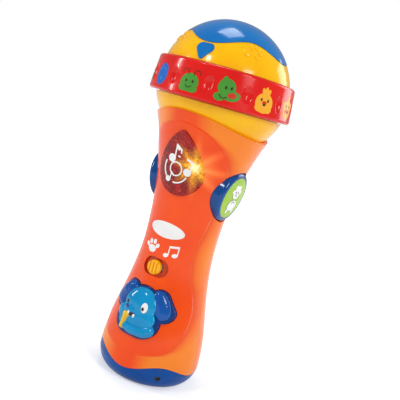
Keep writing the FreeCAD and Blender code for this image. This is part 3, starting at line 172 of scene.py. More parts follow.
glow_group, glow_in, glow_out = new_group(
    "lamp glow",
    [("Reach", "Float")],
    [("Halo", "Float"), ("Core", "Float")],
)
glow_place = node(glow_group, "ShaderNodeTexCoord").outputs["Object"]
glow_spot = node(glow_group, "ShaderNodeSeparateXYZ", {"Vector": glow_place})
away_x = maths(glow_group, "SUBTRACT", glow_spot.outputs["X"], LAMP_X)
away_z = maths(glow_group, "SUBTRACT", glow_spot.outputs["Z"], LAMP_Z)
away_x_squared = maths(glow_group, "POWER", away_x, 2.0)
away_z_squared = maths(glow_group, "POWER", away_z, 2.0)
away = maths(glow_group, "SQRT", maths(glow_group, "ADD", away_x_squared, away_z_squared))
turned = maths(glow_group, "ARCTAN2", away_z, away_x)
rays = maths(glow_group, "COSINE", maths(glow_group, "MULTIPLY", turned, RAYS_PER_HALF_TURN))
rays = maths(glow_group, "POWER", maths(glow_group, "ABSOLUTE", rays), RAY_SHARPNESS)
stretch = maths(glow_group, "ADD", REACH_BETWEEN_RAYS, maths(glow_group, "MULTIPLY", rays, RAY_LENGTH))
reach = maths(glow_group, "MULTIPLY", glow_in.outputs["Reach"], stretch)
front_only = maths(glow_group, "LESS_THAN", glow_spot.outputs["Y"], GLOW_BACK)
halo = maths(glow_group, "SUBTRACT", 1.0, maths(glow_group, "DIVIDE", away, reach))
halo = maths(glow_group, "POWER", maths(glow_group, "MAXIMUM", halo, 0.0), HALO_FALL)
halo = maths(glow_group, "MULTIPLY", halo, front_only)
core = remap(glow_group, away, CORE_INNER, CORE_OUTER, 1.0, 0.0)
glow_group.links.new(halo, glow_out.inputs["Halo"])
glow_group.links.new(core, glow_out.inputs["Core"])

# The half width of the raised panel at each height from its foot to its crown, in metres. Painted light
# makes the orange paler outside the panel, where light falls on the sides, and painted shade makes it a
# little darker in the groove along its edge.
PANEL_EDGE = [(0.0198, 0.0), (0.0205, 0.008), (0.0218, 0.0135), (0.024, 0.0195), (0.032, 0.025)]
PANEL_EDGE += [(0.042, 0.0258), (0.058, 0.023), (0.072, 0.0189), (0.085, 0.0176), (0.098, 0.0192)]
PANEL_EDGE += [(0.112, 0.021), (0.130, 0.023), (0.142, 0.0236), (0.152, 0.0175), (0.155, 0.0125)]
PANEL_EDGE += [(0.157, 0.0075), (0.158, 0.0)]
PANEL_FOOT = 0.0190
PANEL_CROWN = 0.1588
PANEL_TALL = 0.16
PANEL_WIDE = 0.033
PANEL_SPARE = 0.003
SIDE_LIGHT_FADE = (-0.0045, 0.0004)
MIDDLE_FADE = (0.006, 0.016)
GROOVE_SHIFT = 0.0006
GROOVE_HALF_WIDE = 0.0011
SIDE_LIGHT_SHARE = 0.55
GROOVE_SHADE_SHARE = 0.3
SIDE_LIGHT_ORANGE = srgb(255, 166, 44)
GROOVE_SHADE_ORANGE = srgb(214, 66, 10)

# The round-ended recess of the selector, darkened with painted shade.
RECESS_Z = 0.0715
RECESS_HALF_RUN = 0.0029
RECESS_FADE = (0.0050, 0.0058)
RECESS_BACK = -0.01
RECESS_SHADE_SHARE = 0.75
RECESS_SHADE_ORANGE = srgb(186, 48, 6)

SPILL_REACH = 0.019
SPILL_STRENGTH = 0.6

orange = moulded("orange plastic", srgb(254, 126, 26), srgb(251, 114, 20), gloss=0.14)
front_orange = moulded("front orange plastic", srgb(250, 84, 10), srgb(246, 72, 6), gloss=0.1)
tree = front_orange.node_tree
shader = tree.nodes["Principled BSDF"]
skin_tone = shader.inputs["Base Color"].links[0].from_socket
spot = node(tree, "ShaderNodeSeparateXYZ", {"Vector": node(tree, "ShaderNodeTexCoord").outputs["Object"]})
off_middle = maths(tree, "ABSOLUTE", spot.outputs["X"])

outline = node(tree, "ShaderNodeFloatCurve", {"Value": maths(tree, "DIVIDE", spot.outputs["Z"], PANEL_TALL)})
curve = outline.mapping.curves[0]
for z, half_width in PANEL_EDGE:
    curve.points.new(z / PANEL_TALL, (half_width + PANEL_SPARE) / PANEL_WIDE)
curve.points.new(PANEL_FOOT / PANEL_TALL, 0)
curve.points.new(PANEL_CROWN / PANEL_TALL, 0)
curve.points[0].location = (0, 0)
curve.points[-1].location = (1, 0)
outline.mapping.update()
inside = maths(tree, "MULTIPLY", outline.outputs[0], PANEL_WIDE)
inside = maths(tree, "SUBTRACT", inside, maths(tree, "ADD", off_middle, PANEL_SPARE))
# Painted light: outside the panel on the sides the orange is lifted towards a pale orange, where light falls.
side_light = remap(tree, inside, *SIDE_LIGHT_FADE, 1.0, 0.0)
side_light = maths(tree, "MULTIPLY", side_light, maths(tree, "LESS_THAN", spot.outputs["Y"], 0.0))
side_light = maths(tree, "MULTIPLY", side_light, remap(tree, off_middle, *MIDDLE_FADE, 0.0, 1.0))
# Painted shade: a darker orange line in the groove along the panel's edge.
groove = maths(tree, "ABSOLUTE", maths(tree, "ADD", inside, GROOVE_SHIFT))
groove = maths(tree, "MULTIPLY", remap(tree, groove, 0.0, GROOVE_HALF_WIDE, 1.0, 0.0), GROOVE_SHADE_SHARE)
skin_tone = blended(tree, side_light, skin_tone, blended(tree, SIDE_LIGHT_SHARE, skin_tone, SIDE_LIGHT_ORANGE))
skin_tone = blended(tree, groove, skin_tone, GROOVE_SHADE_ORANGE)

# Painted shade: the floor of the selector's recess is darkened to a deep red-orange.
past_run = maths(tree, "MAXIMUM", maths(tree, "SUBTRACT", off_middle, RECESS_HALF_RUN), 0.0)
above = maths(tree, "SUBTRACT", spot.outputs["Z"], RECESS_Z)
recess = maths(tree, "ADD", maths(tree, "POWER", past_run, 2.0), maths(tree, "POWER", above, 2.0))
recess = remap(tree, maths(tree, "SQRT", recess), *RECESS_FADE, 1.0, 0.0)
recess = maths(tree, "MULTIPLY", recess, maths(tree, "LESS_THAN", spot.outputs["Y"], RECESS_BACK))
recess = maths(tree, "MULTIPLY", recess, RECESS_SHADE_SHARE)
tree.links.new(blended(tree, recess, skin_tone, RECESS_SHADE_ORANGE), shader.inputs["Base Color"])

# Painted light: the lamp's glow is painted as emission on the orange round the window.
spill = node(tree, "ShaderNodeGroup", {"Reach": SPILL_REACH}, node_tree=glow_group)
spill_light = blended(tree, spill.outputs["Halo"], srgb(0, 0, 0), srgb(255, 214, 110))
tree.links.new(spill_light, shader.inputs["Emission Color"])
shader.inputs["Emission Strength"].default_value = SPILL_STRENGTH
finish_node("front_shell", front_orange)


# ---------------------------------------------------------------- printing on the front
# White pad printing under the window: a plain oval label, a paw print and a pair of joined notes.
# Each mark is a film of ink a tenth of a millimetre thick, let in so that a few hundredths stand proud.
def facing(centre, outward, upward=(0, 0, 1)):
    """Where a flat piece goes so that it faces outward with its own up along upward."""
    out = Vector(outward).normalized()
    right = Vector(upward).cross(out).normalized()
    place = Matrix((right, out.cross(right), out)).transposed().to_4x4()
    place.translation = Vector(centre)
    return place


def choose(shape):
    """Selects this piece alone and makes it the active one."""
    bpy.ops.object.select_all(action="DESELECT")
    shape.select_set(True)
    bpy.context.view_layer.objects.active = shape


def settle(shape):
    """Applies a piece's place, turn and size to its mesh."""
    choose(shape)
    bpy.ops.object.transform_apply(location=True, rotation=True, scale=True)
    return shape


def divide(shape, cuts):
    """Cuts every face finer, so that it can follow a rounded surface."""
    choose(shape)
    bpy.ops.object.mode_set(mode="EDIT")
    bpy.ops.mesh.select_all(action="SELECT")
    bpy.ops.mesh.subdivide(number_cuts=cuts)
    bpy.ops.object.mode_set(mode="OBJECT")
    return shape


MM = 0.001


def oval(x, y, half_wide, half_high, turn=0.0, cuts=2):
    """A flat oval of ink; all sizes in millimetres."""
    bpy.ops.object.select_all(action="DESELECT")
    centre = (x / 1000, y / 1000, 0)
    bpy.ops.mesh.primitive_circle_add(vertices=28, radius=MM, fill_type="TRIFAN", location=centre)
    shape = bpy.context.object
    shape.rotation_euler.z = math.radians(turn)
    shape.scale = (half_wide, half_high, 1)
    return divide(settle(shape), cuts)


def bar(x0, y0, x1, y1, wide):
    """A flat straight stroke of ink between two points, in millimetres."""
    bpy.ops.object.select_all(action="DESELECT")
    bpy.ops.mesh.primitive_plane_add(size=MM, location=((x0 + x1) / 2000, (y0 + y1) / 2000, 0))
    shape = bpy.context.object
    shape.rotation_euler.z = math.atan2(y1 - y0, x1 - x0)
    shape.scale = (math.hypot(x1 - x0, y1 - y0), wide, 1)
    return divide(settle(shape), 5)


def arc(x, y, radius, wide, start, stop):
    """Part of a flat ring of ink, from one angle to another in degrees."""
    bpy.ops.object.select_all(action="DESELECT")
    centre = (x / 1000, y / 1000, 0)
    bpy.ops.mesh.primitive_circle_add(vertices=96, radius=(radius + wide / 2) / 1000, location=centre)
    shape = bpy.context.object
    bpy.ops.object.mode_set(mode="EDIT")
    bpy.ops.mesh.select_all(action="SELECT")
    bpy.ops.mesh.extrude_edges_move()
    bpy.ops.transform.resize(value=[(radius - wide / 2) / (radius + wide / 2)] * 2 + [1])
    bpy.ops.mesh.select_all(action="DESELECT")
    bpy.ops.object.mode_set(mode="OBJECT")
    for face in shape.data.polygons:
        angle = math.degrees(math.atan2(face.center.y, face.center.x)) % 360
        face.select = (angle - start) % 360 > (stop - start)
    bpy.ops.object.mode_set(mode="EDIT")
    bpy.ops.mesh.select_mode(type="FACE")
    if stop - start < 360:
        bpy.ops.mesh.delete(type="FACE")
    bpy.ops.object.mode_set(mode="OBJECT")
    if shape.data.polygons[0].normal.z < 0:
        bpy.ops.object.mode_set(mode="EDIT")
        bpy.ops.mesh.select_all(action="SELECT")
        bpy.ops.mesh.flip_normals()
        bpy.ops.object.mode_set(mode="OBJECT")
    return settle(shape)


def fused(name, shapes):
    """Joins finished shapes in one object; each keeps its material."""
    bpy.ops.object.select_all(action="DESELECT")
    for shape in shapes:
        shape.select_set(True)
    bpy.context.view_layer.objects.active = shapes[0]
    if len(shapes) > 1:
        bpy.ops.object.join()
    shapes[0].name = name
    shapes[0].data.name = name
    return shapes[0]


INK_THICK = 0.0001


def printed(name, marks, place, target, lift=0.00004, step=0.000012, grown=1.0):
    """Presses each flat mark straight back on to a moulded face, the later ones over the earlier."""
    for shape, ink in marks:
        shape.matrix_world = place @ Matrix.Scale(grown, 4)
        shape.data.materials.append(ink)
        press = shape.modifiers.new("press", "SHRINKWRAP")
        press.target = target
        press.wrap_method = "PROJECT"
        press.wrap_mode = "ABOVE_SURFACE"
        press.use_project_z = True
        press.use_negative_direction = True
        press.use_positive_direction = False
        press.offset = lift
        lift += step
        choose(shape)
        bpy.ops.object.modifier_apply(modifier=press.name)
        settle(shape)
        film = shape.modifiers.new("film", "SOLIDIFY")
        film.thickness = INK_THICK
        film.offset = -1
        bpy.ops.object.modifier_apply(modifier=film.name)
    return fused(name, [shape for shape, _ in marks])


white_ink = moulded("white ink", srgb(250, 250, 248), srgb(238, 238, 236), gloss=0.3, coat=0.1, peel=0.02)
START_Y = -0.06
LABEL_Z = 0.0945
front_place = facing((0, START_Y, LABEL_Z), (0, -1, 0))
label_marks = [oval(0, 0, 11.5, 4.65, cuts=4)]
paw_marks = [oval(-6.0, -13.4, 2.9, 2.2)]
for toe_x, toe_y, toe_turn in ((-9.9, -11.8, 40), (-7.9, -9.6, 12), (-5.0, -9.0, -8), (-2.5, -10.9, -35)):
    paw_marks.append(oval(toe_x, toe_y, 1.15, 1.6, toe_turn))
note_marks = [oval(4.1, -14.2, 1.6, 1.25, 20), oval(9.2, -13.2, 1.6, 1.25, 20)]
note_marks += [bar(5.4, -14.0, 5.4, -8.6, 0.6), bar(10.5, -13.0, 10.5, -7.6, 0.6)]
note_marks += [bar(5.1, -8.9, 10.8, -7.8, 1.3)]
for name, shapes in (("front_label", label_marks), ("front_paw", paw_marks), ("front_notes", note_marks)):
    mark = printed(name, [(shape, white_ink) for shape in shapes], front_place, nodes["front_shell"])
    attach(mark, "handle")


# ---------------------------------------------------------------- window, light box and lamp
# A drop-shaped window of clear red styrene full of fine glitter, domed, let in from behind. A lamp in
# a white reflector tube sits behind it at one side; its gold light in the glitter there is a painted glow,
# emission and a gold base colour on the window.
FLAKES = 1500.0
FLAKE_DEPTH = 0.0003
WINDOW_REACH = 0.0165
WINDOW_GLOW = 1.25

window_red = bpy.data.materials.new("glitter window")
window_red.use_nodes = True
tree = window_red.node_tree
place = node(tree, "ShaderNodeTexCoord").outputs["Object"]
flakes = node(tree, "ShaderNodeTexVoronoi", {"Vector": place, "Scale": FLAKES})
flake_light = node(tree, "ShaderNodeSeparateColor", {"Color": flakes.outputs["Color"]}).outputs[0]
bright_flakes = remap(tree, flake_light, 0.72, 0.95, 0.0, 1.0)
clumps = remap(tree, noise(tree, place, 260.0, 3.0), 0.35, 0.65, 0.15, 1.0)
bright_flakes = maths(tree, "MULTIPLY", bright_flakes, clumps)
depths = remap(tree, noise(tree, place, 160.0, 2.0), 0.35, 0.65, 0.0, 1.0)
red_body = blended(tree, depths, srgb(112, 0, 4), srgb(164, 6, 10))
red_body = blended(tree, bright_flakes, red_body, srgb(222, 58, 44))
# Painted light: the lamp's glow is painted on the window as emission sparkling on the flakes, and as a gold
# base colour.
lit = node(tree, "ShaderNodeGroup", {"Reach": WINDOW_REACH}, node_tree=glow_group)
sparkle = maths(tree, "ADD", 0.6, maths(tree, "MULTIPLY", flake_light, 0.8))
glow = maths(tree, "MULTIPLY", lit.outputs["Halo"], sparkle)
glow_colour = blended(tree, lit.outputs["Core"], srgb(232, 172, 26), srgb(255, 250, 190))
glow_colour = blended(tree, glow, srgb(0, 0, 0), glow_colour)
red_body = blended(tree, maths(tree, "MULTIPLY", glow, 0.9), red_body, srgb(206, 150, 20))
shader = tree.nodes["Principled BSDF"]
bump = node(tree, "ShaderNodeBump", {"Height": flake_light, "Strength": 0.06, "Distance": FLAKE_DEPTH})
tree.links.new(red_body, shader.inputs["Base Color"])
tree.links.new(remap(tree, flake_light, 0.0, 1.0, 0.16, 0.4), shader.inputs["Roughness"])
tree.links.new(bump.outputs["Normal"], shader.inputs["Normal"])
tree.links.new(glow_colour, shader.inputs["Emission Color"])
shader.inputs["Emission Strength"].default_value = WINDOW_GLOW
shader.inputs["Specular IOR Level"].default_value = 0.12
shader.inputs["Coat Weight"].default_value = 0.5
shader.inputs["Coat Roughness"].default_value = 0.03
finish_node("lens", window_red)

# Three notes round a plain ring, with bowed strokes between them, in white on the window.
WINDOW_Z = 0.1311
lens_place = facing((0, START_Y, WINDOW_Z), (0, -1, 0))
lens_marks = [oval(-5.3, 5.6, 2.55, 2.35, 15), bar(-3.5, 5.8, -2.6, 14.2, 0.95)]
lens_marks += [bar(-3.0, 13.9, 0.9, 11.1, 1.2), bar(-2.8, 12.6, -0.6, 11.4, 1.6)]
lens_marks += [bar(0.5, 11.9, 0.6, 9.4, 0.8), arc(-1.7, 0, 3.9, 0.75, 0, 360)]
lens_marks += [arc(-1.7, 0, 8.0, 0.95, 152, 224), arc(-1.7, 0, 8.0, 0.8, 266, 336)]
lens_marks += [arc(-1.7, 0, 7.6, 0.9, 74, 88), oval(5.7, -0.2, 2.3, 2.2), bar(7.4, 0.2, 7.9, 6.4, 0.8)]
lens_marks += [bar(4.6, 7.3, 8.2, 6.0, 1.2), oval(-5.9, -6.8, 1.75, 1.65), bar(-4.6, -6.6, -4.0, -2.1, 0.75)]
lens_marks += [bar(-4.2, -2.5, -2.1, -4.1, 0.9)]
lens_print = printed("lens_print", [(mark, white_ink) for mark in lens_marks], lens_place, nodes["lens"])
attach(lens_print, "handle")

white_plastic = moulded("white plastic", srgb(240, 240, 235), srgb(228, 228, 222), gloss=0.4, coat=0.05)
finish_node("light_box", white_plastic)
lamp_body = moulded("lamp resin", srgb(255, 226, 150), srgb(250, 206, 110), gloss=0.1, coat=0.8)
finish_node("led", lamp_body)


# ---------------------------------------------------------------- circuit boards and what is on them
# Green fibre boards with copper runs under the lacquer: the main board down the middle, one behind each
# side button and one beside the ring. They carry a resin blob over the sound chip and a slide switch.
RUN_GRID = 160.0
COPPER_THICK = 0.00004

board_finish = bpy.data.materials.new("circuit board")
board_finish.use_nodes = True
tree = board_finish.node_tree
place = node(tree, "ShaderNodeTexCoord").outputs["Object"]
upright = node(tree, "ShaderNodeMapping", {"Vector": place, "Rotation": (math.pi / 2, 0, 0)}).outputs[0]
grid = {"Vector": upright, "Scale": RUN_GRID, "Mortar Size": 0.06, "Brick Width": 0.8}
runs = node(tree, "ShaderNodeTexBrick", grid).outputs["Fac"]
board_colour = blended(tree, runs, srgb(34, 96, 52), srgb(62, 138, 70))
flecks = remap(tree, noise(tree, place, 500.0, 3.0), 0.6, 0.7, 0.0, 1.0)
board_colour = blended(tree, flecks, board_colour, srgb(44, 110, 58))
shader = tree.nodes["Principled BSDF"]
bump = node(tree, "ShaderNodeBump", {"Height": runs, "Strength": 0.2, "Distance": COPPER_THICK})
tree.links.new(board_colour, shader.inputs["Base Color"])
tree.links.new(remap(tree, noise(tree, place, 300.0), 0.3, 0.7, 0.25, 0.42), shader.inputs["Roughness"])
tree.links.new(bump.outputs["Normal"], shader.inputs["Normal"])
for board in ("main_board", "ring_sensor_board", "right_switch_board", "left_switch_board"):
    finish_node(board, board_finish)

black_resin = moulded("black resin", srgb(26, 26, 28), srgb(14, 14, 16), gloss=0.18, coat=0.5)
finish_node("sound_chip", black_resin)
finish_node("slide_switch", black_resin)


DRAWN_LINES = 900.0
LINE_STRETCH = (1.0, 1.0, 9.0)
LINE_DEPTH = 0.00003


def metal(name, colour, deep, low, high):
    """Plated or plain metal with fine drawn lines and patchy tarnish, between two roughnesses."""
    finish = bpy.data.materials.new(name)
    finish.use_nodes = True
    tree = finish.node_tree
    place = node(tree, "ShaderNodeTexCoord").outputs["Object"]
    stretched = node(tree, "ShaderNodeMapping", {"Vector": place, "Scale": LINE_STRETCH}).outputs[0]
    lines = noise(tree, stretched, DRAWN_LINES, 3.0)
    patches = remap(tree, noise(tree, place, 420.0, 3.0), 0.35, 0.7, 0.0, 1.0)
    shader = tree.nodes["Principled BSDF"]
    tree.links.new(blended(tree, patches, colour, deep), shader.inputs["Base Color"])
    tree.links.new(remap(tree, lines, 0.3, 0.7, low, high), shader.inputs["Roughness"])
    bump = node(tree, "ShaderNodeBump", {"Height": lines, "Strength": 0.15, "Distance": LINE_DEPTH})
    tree.links.new(bump.outputs["Normal"], shader.inputs["Normal"])
    shader.inputs["Metallic"].default_value = 1.0
    return finish


steel = metal("zinc plated steel", srgb(196, 198, 202), srgb(158, 160, 166), 0.22, 0.42)
for screws in ("board_screws", "case_screws", "head_screws", "door_screw"):
    finish_node(screws, steel)
dark_steel = metal("blued steel", srgb(70, 72, 80), srgb(48, 50, 58), 0.3, 0.5)
finish_node("base_screws", dark_steel)
rubber = moulded("grey rubber", srgb(120, 120, 122), srgb(96, 96, 98), gloss=0.6, smudge=0.2, coat=0.0)
for pad in ("puppy_pad", "right_button_pad", "left_button_pad"):
    finish_node(pad, rubber)


# ---------------------------------------------------------------- speaker
# A 28 mm paper-cone speaker behind the rear grille, held round its rim by a stamped steel plate.
paper_black = {"gloss": 0.5, "smudge": 0.2, "coat": 0.0, "peel": 0.2}
speaker_black = moulded("speaker black", srgb(34, 34, 36), srgb(20, 20, 22), **paper_black)
finish_node("speaker", speaker_black)
finish_node("speaker_bracket", steel)
spring_steel = metal("spring steel", srgb(186, 182, 172), srgb(150, 146, 138), 0.2, 0.36)
finish_node("ring_click_spring", spring_steel)


# ---------------------------------------------------------------- battery tray and cells
# A white tray with two AA cells in printed sleeves, one each way up, between nickel-plated contacts.
finish_node("battery_tray", white_plastic)
finish_node("battery_contacts", spring_steel)
SLEEVE_BAND_Z = 0.064
CELL_MIDDLE_Z = 0.05325
SLEEVE_HALF_TALL = 0.0241

sleeve = bpy.data.materials.new("cell sleeve")
sleeve.use_nodes = True
tree = sleeve.node_tree
place = node(tree, "ShaderNodeTexCoord").outputs["Object"]
height = node(tree, "ShaderNodeSeparateXYZ", {"Vector": place}).outputs["Z"]
band = maths(tree, "GREATER_THAN", height, SLEEVE_BAND_Z)
from_middle = maths(tree, "ABSOLUTE", maths(tree, "SUBTRACT", height, CELL_MIDDLE_Z))
ends = maths(tree, "GREATER_THAN", from_middle, SLEEVE_HALF_TALL)
mottled = remap(tree, noise(tree, place, 300.0, 3.0), 0.3, 0.7, 0.0, 1.0)
sleeve_colour = blended(tree, mottled, srgb(52, 56, 64), srgb(42, 46, 52))
sleeve_colour = blended(tree, band, sleeve_colour, srgb(206, 134, 52))
sleeve_colour = blended(tree, ends, sleeve_colour, srgb(196, 196, 200))
shader = tree.nodes["Principled BSDF"]
tree.links.new(sleeve_colour, shader.inputs["Base Color"])
tree.links.new(maths(tree, "MULTIPLY", ends, 0.9), shader.inputs["Metallic"])
tree.links.new(remap(tree, mottled, 0.0, 1.0, 0.2, 0.34), shader.inputs["Roughness"])
shader.inputs["Coat Weight"].default_value = 0.4
finish_node("batteries", sleeve)


# ---------------------------------------------------------------- rear half of the case and battery door
# The plain rear half closes on the front with four screws down deep bosses. The battery door lies flush
# in it with four finger ridges and one captive screw at its top.
finish_node("rear_shell", orange)
door_orange = moulded("door orange", srgb(252, 120, 24), srgb(249, 108, 18), gloss=0.16)
finish_node("battery_door", door_orange)


# ---------------------------------------------------------------- base cap
# The rounded foot: one blue moulding with a wavy upper edge, let in flush with the case and fixed by
# two small screws, one of which shows low on the front.
base_blue = moulded("base blue", srgb(0, 84, 168), srgb(0, 72, 150), gloss=0.2, coat=0.0)
base_blue.node_tree.nodes["Principled BSDF"].inputs["Specular IOR Level"].default_value = 0.2
finish_node("base_cap", base_blue)


# ---------------------------------------------------------------- selector switch
# A round amber knob with three finger ribs slides in an oval recess and carries a hidden white slider.
amber = moulded("amber plastic", srgb(255, 186, 20), srgb(250, 168, 12), gloss=0.2)
finish_node("mode_knob", amber)
finish_node("mode_slider", white_plastic)


# ---------------------------------------------------------------- head bowl, dome and paw prints
# The round head in warm yellow: the bowl sits in the orange collar, the dome closes it over the ring.
# Four paw prints are moulded in low relief round the dome, between the waves of the blue cap.
yellow = moulded("yellow plastic", srgb(255, 198, 2), srgb(252, 182, 0), gloss=0.12)
finish_node("head_bowl", yellow)
finish_node("head_dome", yellow)


def lump(place, half_wide, half_high, thick):
    """A smooth lens-shaped swelling lying on a face; sizes in millimetres."""
    bpy.ops.object.select_all(action="DESELECT")
    bpy.ops.mesh.primitive_uv_sphere_add(segments=32, ring_count=20, radius=MM)
    shape = bpy.context.object
    shape.matrix_world = place @ Matrix.Diagonal((half_wide, half_high, thick, 1))
    return settle(shape)


def melted(shape, voxel, rounds):
    """Runs joined lumps together into one skin and softens it, as the toolmaker blends a relief."""
    choose(shape)
    skin = shape.modifiers.new("skin", "REMESH")
    skin.mode = "VOXEL"
    skin.voxel_size = voxel
    skin.use_smooth_shade = True
    bpy.ops.object.modifier_apply(modifier=skin.name)
    soften = shape.modifiers.new("soften", "SMOOTH")
    soften.factor = 0.5
    soften.iterations = rounds
    bpy.ops.object.modifier_apply(modifier=soften.name)
    bpy.ops.object.shade_smooth()
    return shape


HEAD_CENTRE = Vector((0, 0, 0.183))
HEAD_R = 0.0388
PAW_TILT = 34
PAW_THICK = 0.65
PAW_LUMPS = [(-3.6, -1.6, 2.9, 2.3), (-1.2, 2.6, 1.3, 1.6), (2.2, 2.8, 1.4, 1.7)]
PAW_LUMPS += [(4.0, 0.2, 1.4, 1.7), (2.4, -3.2, 1.6, 1.4)]
for count in range(4):
    turn = math.radians(45 + 90 * count)
    tilt = math.radians(PAW_TILT)
    outward = Vector((math.sin(turn) * math.cos(tilt), -math.cos(turn) * math.cos(tilt), math.sin(tilt)))
    middle = facing(HEAD_CENTRE + outward * HEAD_R, outward)
    lumps = []
    for across, up, half_wide, half_high in PAW_LUMPS:
        spot = middle @ Vector((across / 1000, up / 1000, 0))
        spot = HEAD_CENTRE + (spot - HEAD_CENTRE).normalized() * HEAD_R
        lumps.append(lump(facing(spot, spot - HEAD_CENTRE), half_wide, half_high, PAW_THICK))
    paw = melted(fused("dome_paw_%d" % (count + 1), lumps), voxel=0.00018, rounds=4)
    paw.data.materials.append(yellow)
    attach(paw, "handle")


# ---------------------------------------------------------------- cap and drops
# A sky-blue cap with a wavy edge sits in the top of the dome, and a blue drop hangs below its low
# point at the front and at the back.
cap_blue = moulded("cap blue", srgb(0, 118, 194), srgb(0, 104, 180), gloss=0.12, coat=0.25)
finish_node("head_cap", cap_blue)
finish_node("head_drops", cap_blue)


# ---------------------------------------------------------------- turning ring and its pictures
# A red ring turns round the neck of the head. Twelve finger scoops lie between twelve printed pictures:
# plain animal faces in green and in yellow, and a blue egg, all of our own drawing.
ring_red = moulded("ring red", srgb(232, 30, 22), srgb(220, 20, 16), gloss=0.16, coat=0.2)
finish_node("roller_ring", ring_red)
picture_ink = {"gloss": 0.32, "coat": 0.1, "peel": 0.02}
green_ink = moulded("green ink", srgb(78, 158, 54), srgb(70, 146, 50), **picture_ink)
dark_ink = moulded("dark ink", srgb(60, 52, 24), srgb(48, 40, 20), **picture_ink)
chick_ink = moulded("chick yellow ink", srgb(252, 182, 54), srgb(246, 168, 44), **picture_ink)
beak_ink = moulded("beak red ink", srgb(214, 60, 30), srgb(204, 52, 28), **picture_ink)
sky_ink = moulded("sky ink", srgb(40, 150, 226), srgb(30, 138, 214), **picture_ink)
egg_ink = moulded("blue ink", srgb(30, 110, 206), srgb(24, 98, 190), **picture_ink)


def bug_face():
    """A round green face with two cheeks, two curled feelers and a smile."""
    marks = [(oval(0, -1.0, 4.7, 4.3), green_ink)]
    marks += [(oval(-2.4, -3.6, 2.4, 1.8), green_ink), (oval(2.4, -3.6, 2.4, 1.8), green_ink)]
    marks += [(arc(-3.0, 3.4, 1.6, 0.35, -40, 190), dark_ink), (arc(3.0, 3.4, 1.6, 0.35, -10, 220), dark_ink)]
    marks += [(oval(-1.7, -0.4, 0.5, 0.7), dark_ink), (oval(1.7, -0.4, 0.5, 0.7), dark_ink)]
    marks += [(arc(0, -1.6, 1.7, 0.4, 205, 335), dark_ink)]
    return marks


def lizard_face():
    """A long green face with a crest, a blunt snout and a red tongue."""
    marks = [(oval(-0.8, 1.2, 4.2, 4.0), green_ink), (oval(1.4, -2.0, 4.6, 2.6), green_ink)]
    marks += [(oval(-3.4, -3.6, 2.6, 1.9), green_ink), (oval(-2.2, 4.6, 1.2, 1.4), green_ink)]
    marks += [(oval(4.6, -1.4, 1.6, 1.3), green_ink)]
    marks += [(oval(-1.2, 1.0, 0.5, 0.8), dark_ink), (oval(1.4, 1.2, 0.5, 0.8), dark_ink)]
    marks += [(oval(2.4, -1.9, 2.1, 1.3, 10), beak_ink), (arc(-1.6, -2.0, 1.9, 0.4, 190, 330), dark_ink)]
    return marks


def chick_face():
    """A round yellow face with three tufts, two small wings and an open beak."""
    marks = [(oval(0, -1.0, 5.0, 4.7), chick_ink)]
    marks += [(oval(-3.2, -3.8, 1.8, 1.3, -30), chick_ink), (oval(3.2, -3.8, 1.8, 1.3, 30), chick_ink)]
    marks += [(oval(-1.4, 4.2, 0.9, 1.6, 20), chick_ink), (oval(0.1, 4.8, 0.9, 1.7), chick_ink)]
    marks += [(oval(1.6, 4.2, 0.9, 1.6, -20), chick_ink)]
    marks += [(oval(-1.9, 0.4, 0.5, 0.7), dark_ink), (oval(1.9, 0.4, 0.5, 0.7), dark_ink)]
    marks += [(oval(0, -0.8, 1.3, 0.8), beak_ink), (oval(0, -1.7, 0.8, 0.5), dark_ink)]
    return marks


def duck_face():
    """A round yellow face with side feathers, one tuft and a broad red bill."""
    marks = [(oval(0, -0.8, 4.7, 4.6), chick_ink)]
    marks += [(oval(-4.0, 0.6, 1.2, 2.2, 20), chick_ink), (oval(4.0, 0.6, 1.2, 2.2, -20), chick_ink)]
    marks += [(oval(0.3, 4.6, 1.0, 1.6, -15), chick_ink)]
    marks += [(oval(-1.6, 0.8, 0.5, 0.8), dark_ink), (oval(1.6, 0.8, 0.5, 0.8), dark_ink)]
    marks += [(oval(0, -1.7, 2.3, 1.1), beak_ink), (bar(-2.0, -1.7, 2.0, -1.7, 0.25), dark_ink)]
    return marks


def egg():
    """A blue egg with a paler bow across it and one spot."""
    marks = [(oval(0, -0.2, 4.4, 5.3), egg_ink), (arc(0, 0.6, 2.4, 0.5, 20, 160), sky_ink)]
    return marks + [(oval(0, -2.4, 0.9, 0.9), sky_ink)]


RING_MIDDLE = 0.1815
RING_NARROWS = 2.0
RING_TALL = 20.7
RING_TAPER = math.atan(RING_NARROWS / RING_TALL)
RING_START_Y = -0.05
PICTURE_GROWN = 1.18
PICTURES = [bug_face, lizard_face, chick_face, duck_face, egg]
ORDER = [0, 1, 2, 3, 4, 0, 1, 2, 3, 4, 1, 4]  # which of the five stands at each place round the ring
STEP_ROUND = 30
picture_place = facing((0, RING_START_Y, RING_MIDDLE), (0, -math.cos(RING_TAPER), math.sin(RING_TAPER)))
patterns = []
for number, drawn in enumerate(PICTURES):
    name = "ring_picture_pattern_%d" % number
    patterns.append(printed(name, drawn(), picture_place, nodes["roller_ring"], grown=PICTURE_GROWN))
for count, number in enumerate(ORDER):
    picture = patterns[number].copy()
    picture.data = patterns[number].data.copy()
    picture.name = "ring_picture_%02d" % (count + 1)
    bpy.context.scene.collection.objects.link(picture)
    picture.data.transform(Matrix.Rotation(math.radians(STEP_ROUND * count), 4, "Z"))
    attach(picture, "roller")
for pattern in patterns:
    bpy.data.objects.remove(pattern)


